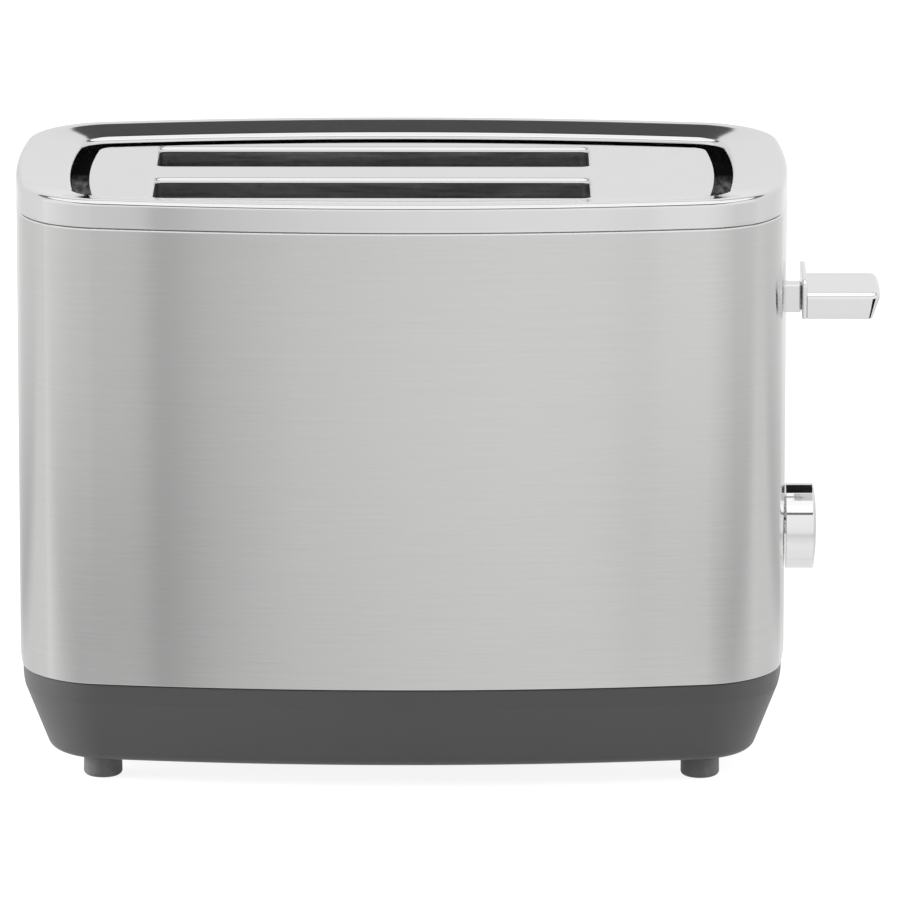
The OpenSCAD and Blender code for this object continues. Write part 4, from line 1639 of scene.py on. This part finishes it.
@dataclass
class LeverSet:
    """Lever: a steel arm through the sleeve's slot, a flange and a bowed bright handle."""

    arm_corner_r: float = 0.7 * MM
    flange_t: float = 1.8 * MM
    flange_rise: float = 4.4 * MM
    flange_corner_r: float = 2.6 * MM
    flange_edge: float = 0.55 * MM
    bow: float = 0.6 * MM
    lean: float = 2.7 * MM
    corner_r: float = 3.1 * MM
    low_corner_r: float = 1.4 * MM
    top_edge: float = 2.1 * MM
    low_edge: float = 0.4 * MM

    def plan(self, inset: float, x0: float, x1: float, half: float, corner: float) -> list[Row]:
        """Gives the handle's outline from above.

        Args:
            inset: How far it is moved in.
            x0: Where it leaves the flange.
            x1: Its outer end.
            half: Half its depth.
            corner: Radius of its corners.

        Returns:
            Its points from the front of the flange round the end to the rear of the flange.
        """
        bow_r = (half ** 2 + self.bow ** 2) / (2 * self.bow)
        side = half - corner
        cx = x1 - bow_r
        corner_x = cx + math.sqrt((bow_r - corner) ** 2 - side ** 2)
        turn = math.degrees(math.asin(side / (bow_r - corner)))
        r, steps = corner - inset, 12
        points = arc((corner_x, -side), r, -90, -turn, steps)
        points += arc((cx, 0), bow_r - inset, -turn, turn, steps)[1:-1]
        points += arc((corner_x, side), r, turn, 90, steps)
        return [(x0, inset - half), *points, (x0, half - inset)]

    def build(self, arm_finish: Material, finish: Material) -> None:
        """Builds the arm, the flange and the handle.

        Args:
            arm_finish: Material of the arm.
            finish: Material of the flange and the handle.
        """
        piece = block_solid("lever_bar", *node_box("lever_arm"))
        rounded(piece, self.arm_corner_r, segments=4)
        fit(piece, arm_finish, "lever", "arm_steel", "lever_arm")
        self.flange(finish)
        self.handle(finish)

    def flange(self, finish: Material) -> None:
        """Builds the flange behind the handle.

        Args:
            finish: Its material.
        """
        low, high = node_box("lever_handle")
        piece = block_solid("lever_flange", low, (low.x + self.flange_t, high.y, high.z))
        mesh = bmesh.new()
        mesh.from_mesh(piece.data)
        upper = [e for e in mesh.edges if abs(e.verts[0].co.x - e.verts[1].co.x) > MM
                 and min(v.co.z for v in e.verts) > low.z + MM]
        bmesh.ops.bevel(mesh, geom=upper, offset=self.flange_corner_r, segments=8, profile=0.5,
                        affect="EDGES")
        mesh.to_mesh(piece.data)
        mesh.free()
        rounded(piece, self.flange_edge, segments=4)
        fit(piece, finish, "lever", "bright_handle", "lever_handle")

    def handle(self, finish: Material) -> None:
        """Builds the handle.

        Args:
            finish: Its material.
        """
        low, high = node_box("lever_handle")
        x0, half = low.x + self.flange_t, (high.y - low.y) / 2
        top = high.z - self.flange_rise
        e, b = self.top_edge, self.low_edge
        rows = arc((b, low.z + b), b, 270, 180, steps=4)
        rows += [(0.0, low.z + (top - low.z) * k / 4) for k in (1, 2, 3)]
        rows += arc((e, top - e), e, 180, 90, steps=8)
        draft = Draft()
        loops = []
        for inset, z in rows:
            share = min((z - low.z) / (top - e - low.z), 1.0)
            corner = self.low_corner_r + (self.corner_r - self.low_corner_r) * share
            reach = high.x - self.lean * (1 - share)
            loops.append(draft.add((x, y, z) for x, y in self.plan(inset, x0, reach, half, corner)))
        for lower, upper in zip(loops, loops[1:]):
            for i in range(len(lower) - 1):
                draft.face((lower[i], lower[i + 1], upper[i + 1], upper[i]))
        draft.caps(loops[0], loops[-1])
        draft.face([row[-1] for row in loops] + [row[0] for row in loops[::-1]])
        fit(draft.finish("lever_grip"), finish, "lever", "bright_handle", "lever_handle")


@dataclass
class Controls:
    """Browning knob and cancel button on the +X end."""

    levels: Levels
    edge_r: float = 0.6 * MM
    back_edge: float = 0.15 * MM
    waist: float = 0.4
    dome: float = 1.1 * MM
    mark_half: float = 0.5 * MM
    mark_from: float = 0.5
    mark_span: float = 0.36
    mark_lift: float = 0.04 * MM
    button_r: float = 4.5 * MM
    button_edge_r: float = 0.7 * MM
    collar: Row = (1.2 * MM, 1.6 * MM)
    dish: tuple[Row, ...] = ((0.6, 0.12 * MM), (0.0, 0.3 * MM))

    def build(self, knob_finish: Material, mark_finish: Material, button_finish: Material) -> None:
        """Builds the knob, its pointer and the button.

        Args:
            knob_finish: Material of the knob.
            mark_finish: Material of the pointer line.
            button_finish: Material of the button.
        """
        low, high = node_box("knob")
        r, length = (high.y - low.y) / 2, high.x - low.x
        e, back = self.edge_r, self.back_edge
        dome_r = ((r - e) ** 2 + self.dome ** 2) / (2 * self.dome)
        lift = math.degrees(math.asin((r - e) / dome_r))
        profile = [(0.0, 0.0), (r - back, 0.0), (r, back), (r, length * self.waist)]
        profile += arc((r - e, length - self.dome - e), e, 0, 90 - lift, steps=7)
        profile += arc((0, length - dome_r), dome_r, 90 - lift, 90, steps=12)[1:]
        knob = turned("browning_dial", profile, Vector((low.x, 0, self.levels.knob)), TO_LEVER, steps=128)
        fit(knob, knob_finish, "browning_knob", "bright_knob", "knob")
        self.pointer(mark_finish, high.x, r, dome_r)
        self.button(button_finish)

    def pointer(self, finish: Material, front: float, r: float, dome_r: float) -> None:
        """Builds the pointer line on the knob's face.

        Args:
            finish: Its material.
            front: Where the face is highest.
            r: Radius of the knob.
            dome_r: Radius of the face's dome.
        """
        draft = Draft()
        rows, steps, half = [], 8, self.mark_half
        for i in range(steps + 1):
            up = r * (self.mark_from + self.mark_span * i / steps)
            x = front - dome_r + math.sqrt(dome_r ** 2 - up ** 2) + self.mark_lift
            rows.append(draft.add((x, y, self.levels.knob + up) for y in (-half, half)))
        for a, b in zip(rows, rows[1:]):
            draft.face((a[0], a[1], b[1], b[0]))
        fit(draft.finish("dial_pointer"), finish, "browning_knob", "bright_knob")

    def button(self, finish: Material) -> None:
        """Builds the cancel button.

        Args:
            finish: Its material.
        """
        low, high = node_box("cancel_button")
        r, length, e = self.button_r, high.x - low.x, self.button_edge_r
        out, thick = self.collar
        profile = [(0.0, 0.0), (r + out, 0.0), (r + out, thick), (r, thick)]
        profile += arc((r - e, length - e), e, 0, 90, steps=6)
        profile += [(r * share, length - drop) for share, drop in self.dish]
        centre = Vector((low.x, (low.y + high.y) / 2, self.levels.knob))
        fit(turned("stop_button", profile, centre, TO_LEVER, steps=64), finish, "cancel", "button_plastic",
            "cancel_button")


@dataclass
class InnerWorks:
    """The chassis, the heaters, the guards, the lift and the latch keep their solids and get finishes."""

    def finishes(self) -> list[tuple[Finish, tuple[str, ...]]]:
        """Returns each finish with the nodes that wear it."""
        return [
            (SheetSteel("chassis plate", (0.5, 0.51, 0.52)), ("chassis_left", "chassis_right")),
            (SheetSteel("reflector sheet", (0.6, 0.61, 0.62), 0.3, 0.012),
             ("reflector_front", "reflector_rear")),
            (MicaSheet("mica"), ("card_front", "card_middle", "card_rear")),
            (DrawnWire("heating ribbon", (0.3, 0.28, 0.27), (0.12, 0.1, 0.1), 0.8, 0.45),
             ("winding_front", "winding_middle", "winding_rear")),
            (DrawnWire("guard wire", (0.52, 0.52, 0.53)),
             ("guard_front_outer", "guard_front_inner", "guard_rear_inner", "guard_rear_outer")),
            (DrawnWire("rack strip", (0.48, 0.48, 0.49), amount=0.45), ("rack_front", "rack_rear")),
            (SheetSteel("carriage sheet", (0.55, 0.55, 0.56), 0.34, 0.009), ("carriage",)),
            (DrawnWire("ground rod", (0.66, 0.66, 0.67), amount=0.05, roughness=0.18),
             ("guide_rod", "knob_shaft", "return_spring")),
            (SoftIron("soft iron"), ("armature", "magnet_core")),
            (WoundCopper("wound copper"), ("magnet_coil",)),
            (CircuitBoard("circuit board"), ("control_board",)),
            (MouldedPlastic("black moulding", (0.03, 0.03, 0.033), 0.4),
             ("board_parts", "timer_pot", "cancel_switch", "cord_gland")),
            (DrawnWire("zinc screw", (0.6, 0.6, 0.58), amount=0.1, roughness=0.3), ("base_screws",)),
        ]

    def build(self) -> None:
        """Gives every kept node its finish."""
        for finish, nodes in self.finishes():
            material = finish.build()
            for node in nodes:
                mesh = NODES[node].data
                if len(mesh.materials) == 0:
                    mesh.materials.append(material)
                for slot in range(len(mesh.materials)):
                    mesh.materials[slot] = material
                LOG.info("%s: %s", node, finish.name)


# ---- Studio ----


@dataclass
class Studio:
    """A pale floor, a soft surround and a long lens. Angles are in degrees but for the camera's."""

    camera_at: Point = (0.01435, -3.6, 0.99543)
    tilt: float = 0.24214
    turn: float = 0.00388
    lens: float = 420.12
    sensor: float = 36.0
    sees_to: float = 50.0
    lamps: tuple[tuple[str, Point, float, float], ...] = (
        ("key_lamp", (-1.2, -1.9, 2.6), 2.2, 22.0), ("left_lamp", (-1.7, 0.06, 0.3), 1.0, 90.0),
        ("right_lamp", (1.7, 0.06, 0.3), 1.0, 46.0))
    lit: Point = (0.0, 0.0, 0.1)
    soft_level: float = 0.78
    front_bands: tuple[Row, ...] = (
        (-90, 1.0), (-40, 1.1), (-22, 1.14), (-16.5, 1.0), (-13, 1.0), (4, 1.1), (20, 1.13), (41.5, 1.16),
        (42.5, 0.2), (48, 0.2), (49, 1.5), (66, 1.5), (70, 1.34), (90, 1.34))
    rear_bands: tuple[Row, ...] = (
        (-90, 1.0), (38, 1.0), (39, 0.22), (47, 0.22), (48, 1.5), (54, 1.5), (58, 1.34), (90, 1.34))
    board_bands: tuple[Row, ...] = (
        (-90, 1.0), (24.2, 1.0), (24.6, 0.11), (37, 0.08), (38, 1.5), (54, 1.5), (58, 1.34), (90, 1.34))
    board_half: float = 0.085
    panels: tuple[Row, ...] = (
        (-90, 0.9864), (-66, 0.9), (-45, 0.82), (-25, 0.79), (-17.8, 0.745), (-16.3, 0.73), (-15.7, 0.56),
        (-15.0, 0.57), (-12.2, 0.7), (-6.7, 0.82), (-0.5, 0.885), (5.6, 0.925), (11.7, 0.935), (14.0, 0.9),
        (15.0, 0.9), (15.6, 0.95), (17.3, 0.96), (35, 0.9), (56, 0.8), (79, 0.82), (90, 0.8593))
    panel_top: Row = (8, 24)
    plain: float = 0.9
    rear_calm: float = 0.6
    knob_flag_low: Row = (0.1165, 0.0165)
    knob_flag_high: Row = (0.1365, 0.125)
    knob_flag_z: float = 0.15
    knob_span: Row = (0.057, 0.145)
    grip_flag_from: Row = (0.002, -0.014)
    grip_flag_to: Row = (0.013, -0.0075)
    grip_flag_z: Row = (-0.012, 0.006)
    grip_span: Row = (0.0, 0.024)
    cloth: Row = (0.01, 0.02)
    weave: Grain = Grain(grey(900))
    floor_half: float = 12.0
    floor_drop: float = 0.05 * MM
    floor_greys: Row = (0.93, 0.95)
    floor_cloud: Grain = Grain(grey(6))
    matt: float = 0.9
    floor_glow: float = 1.13
    floor_share: float = 0.78
    shade_reach: Row = (0.3, 0.22)
    shade_fade: Row = (0.8, 3.5)
    shade_ends_at: Row = (0.1, 0.34)
    shade_ends: Row = (0.1, 0.22)
    shade_sides: Row = (0.08, 0.18)

    def build(self) -> None:
        """Sets up the camera, the surround, the lamps, the flags and the floor."""
        self.place_camera()
        self.surround()
        for name, place, size, power in self.lamps:
            self.lamp(name, place, size, power)
        self.flags()
        self.floor()
        bpy.context.scene.view_settings.view_transform = "Standard"

    def place_camera(self) -> None:
        """Places the camera in front of the body, tilted down."""
        data = bpy.data.cameras.new("camera")
        data.lens, data.sensor_width = self.lens, self.sensor
        data.clip_end = self.sees_to
        camera = bpy.data.objects.new("camera", data)
        camera.location = self.camera_at
        camera.rotation_euler = (math.pi / 2 - self.tilt, 0.0, self.turn)
        bpy.context.scene.collection.objects.link(camera)
        bpy.context.scene.camera = camera

    def lamp(self, name: str, place: Point, size: float, power: float) -> None:
        """Adds a soft lamp that looks at the body.

        Args:
            name: Its name.
            place: Where it stands.
            size: Its width and height.
            power: Its power in watts.
        """
        data = bpy.data.lights.new(name, "AREA")
        data.size, data.energy = size, power
        made = bpy.data.objects.new(name, data)
        made.location = place
        made.rotation_euler = (Vector(self.lit) - Vector(place)).to_track_quat("-Z", "Y").to_euler()
        made.visible_glossy = False
        bpy.context.scene.collection.objects.link(made)

    def surround(self) -> None:
        """Builds the world: white behind the object, soft light, and panels for the metal to mirror."""
        world = bpy.data.worlds.new("surround")
        bpy.context.scene.world = world
        world.use_nodes = True
        world.cycles.sampling_method = "NONE"
        world.node_tree.nodes.clear()
        sky = Nodes(world.node_tree)
        ray = sky.node("LightPath").outputs
        seen = sky.math("MAXIMUM", ray["Is Glossy Ray"], ray["Is Transmission Ray"])
        light = sky.blend(seen, grey(self.soft_level), self.mirrored(sky))
        light = sky.blend(ray["Is Camera Ray"], light, grey(1.0))
        background = sky.node("Background", {"Color": light}).outputs[0]
        sky.node("OutputWorld", {"Surface": background})

    def mirrored(self, sky: Nodes) -> Socket:
        """Gives what the metal mirrors: upright panels low down, and level bands by elevation.

        Args:
            sky: The world's nodes.

        Returns:
            The colour of each direction.
        """
        way = sky.node("SeparateXYZ", {"Vector": sky.node("TexCoord").outputs["Generated"]}).outputs
        sideways = sky.math("ARCTAN2", way["X"], sky.math("ABSOLUTE", way["Y"]))
        turn = sky.math("MULTIPLY_ADD", sideways, 1 / math.pi, 0.5)
        rise = sky.math("MULTIPLY_ADD", way["Z"], 0.5, 0.5)
        behind = sky.math("GREATER_THAN", way["Y"], 0.0)
        panels = sky.ramp(turn, [(angle / 180 + 0.5, grey(tone)) for angle, tone in self.panels])
        front, rear, board = (
            sky.ramp(rise, [(self.rise(angle), grey(tone)) for angle, tone in bands])
            for bands in (self.front_bands, self.rear_bands, self.board_bands))
        at_board = sky.math("LESS_THAN", sky.math("ABSOLUTE", way["X"]), self.board_half)
        bands = sky.blend(behind, front, sky.blend(at_board, rear, board))
        calm = sky.math("MULTIPLY", behind, self.rear_calm)
        over = sky.remap(rise, 0.0, 1.0, *(self.rise(angle) for angle in self.panel_top))
        plain = grey(self.plain)
        return sky.blend(1.0, sky.blend(over, sky.blend(calm, panels, plain), plain), bands, "MULTIPLY")

    @staticmethod
    def rise(angle: float) -> float:
        """Returns the ramp position of an elevation."""
        return math.sin(math.radians(angle)) * 0.5 + 0.5

    def flags(self) -> None:
        """Hangs black flags that only the upper side of the knob and a corner of the handle mirror."""
        (x0, y0), (x1, y1), z = self.knob_flag_low, self.knob_flag_high, self.knob_flag_z
        self.flag("knob_flag", [(x0, y0, z), (x0, y1, z), (x1, y1, z), (x1, y0, z)], self.knob_span)
        low, high = node_box("lever_handle")
        near, far = ((high.x + x, low.y + y) for x, y in (self.grip_flag_from, self.grip_flag_to))
        base, top = (low.z + z for z in self.grip_flag_z)
        self.flag("handle_flag", [(*far, base), (*near, base), (*near, top), (*far, top)], self.grip_span)

    def flag(self, name: str, corners: Sequence[Point], span: Row) -> None:
        """Hangs one black flag, which is clear from behind and outside a span of distances.

        Args:
            name: Its name.
            corners: Its corners, anticlockwise as its black side shows them.
            span: Nearest and farthest distance at which it is black, so that one piece alone mirrors it.
        """
        s = Shader("flag cloth")
        dark, light = self.cloth
        s.set(Base_Color=s.blend(s.noise(self.weave), grey(dark), grey(light)))
        s.set(Roughness=self.matt, Specular_IOR_Level=0.0)
        length = s.node("LightPath").outputs["Ray Length"]
        nearer, farther = s.math("LESS_THAN", length, span[0]), s.math("GREATER_THAN", length, span[1])
        from_behind = s.node("NewGeometry").outputs["Backfacing"]
        hidden = s.math("MAXIMUM", from_behind, s.math("MAXIMUM", nearer, farther))
        s.wear(s.blend_light(hidden, s.surface.outputs[0], s.node("BsdfTransparent").outputs[0]))
        made = self.sheet(name, corners, s.material)
        made.visible_camera = made.visible_diffuse = made.visible_shadow = made.visible_transmission = False

    def sheet(self, name: str, corners: Sequence[Point], material: Material) -> Piece:
        """Adds a flat piece of the stage.

        Args:
            name: Its name.
            corners: Its corners, anticlockwise from its front.
            material: Its material.

        Returns:
            The piece.
        """
        draft = Draft()
        draft.face(draft.add(corners))
        made = draft.finish(name)
        made.data.materials.append(material)
        return made

    def floor(self) -> None:
        """Builds the floor: white to the eye with a soft shadow, and shaded near the body in a mirror."""
        s = Shader("pale floor")
        dark, light = self.floor_greys
        s.set(Base_Color=s.blend(s.noise(self.floor_cloud), grey(dark), grey(light)))
        s.set(Roughness=self.matt, Specular_IOR_Level=0.0)
        ray = s.node("LightPath").outputs
        white = s.node("Emission", {"Color": (1, 1, 1, 1), "Strength": self.floor_glow}).outputs[0]
        share = s.math("MULTIPLY", ray["Is Camera Ray"], self.floor_share)
        seen = s.blend_light(share, s.surface.outputs[0], white)
        clearness = s.blend(self.floor_shade(s), grey(1.0), grey(0.0))
        veil = s.node("BsdfTransparent", {"Color": clearness}).outputs[0]
        s.wear(s.blend_light(ray["Is Glossy Ray"], seen, veil))
        half = self.floor_half
        made = self.sheet("floor", [(-half, -half, 0), (half, -half, 0), (half, half, 0), (-half, half, 0)],
                          s.material)
        made.location.z = -self.floor_drop

    def floor_shade(self, s: Shader) -> Socket:
        """Gives the shade round the body that the metal mirrors in the floor.

        Args:
            s: The floor's shader.

        Returns:
            Its depth at each place.
        """
        place = s.node("SeparateXYZ", {"Vector": s.place((1, 1, 0))}).outputs
        reach_x, reach_y = self.shade_reach
        away = s.node("VectorMath", {0: s.place((1 / reach_x, 1 / reach_y, 0))}, operation="LENGTH")
        fade = s.remap(away.outputs["Value"], 1.0, 0.0, *self.shade_fade, "SMOOTHSTEP")
        ends = s.remap(s.math("ABSOLUTE", place["X"]), *self.shade_ends_at, *self.shade_ends)
        sides = s.remap(s.math("ABSOLUTE", place["Y"]), 0, 1, *self.shade_sides)
        return s.math("MULTIPLY", s.math("MULTIPLY", ends, sides), fade)


def main() -> None:
    """Builds every sub-assembly in order."""
    logging.basicConfig(level=logging.INFO, format="%(name)s: %(message)s")
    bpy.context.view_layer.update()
    Studio().build()
    outline, levels = BodyOutline.from_frame(), Levels.from_frame()
    base = BaseTub(outline, levels)
    base.build(MouldedPlastic("base moulding", (0.0405, 0.0405, 0.0415), 0.45).build())
    CrumbTray(base).build(SheetSteel("tray sheet", (0.55, 0.56, 0.57), 0.3).build())
    Feet(base).build(FootRubber("foot rubber").build())
    # The hem's metal is lighter than the sleeve's as a painted highlight on the polished edge
    Sleeve(outline, levels).build(BrushedSteel("brushed sleeve").build(),
                                  BrightMetal("sleeve hem highlight", grey(0.78), 0.12).build())
    TopRing(outline, levels).build(BrightMetal("ring metal", grey(0.735), 0.05, 0.02).build())
    SlotPlate(outline, levels).build(BrightMetal("plate metal", grey(0.73), 0.06, 0.02).build(),
                                     SlotPaintedShade("slot painted shade").build(), GroovePaintedShadeAndLight("groove painted shade and light").build())
    LeverSet().build(BrightMetal("arm steel", (0.78, 0.78, 0.79), 0.1).build(),
                     BrightMetal("plated handle").build())
    Controls(levels).build(BrightMetal("plated knob").build(),
                           MouldedPlastic("pointer paint", grey(0.03)).build(),
                           MouldedPlastic("button moulding", (0.3, 0.31, 0.32), 0.35).build())
    InnerWorks().build()


if __name__ == "__main__":
    main()
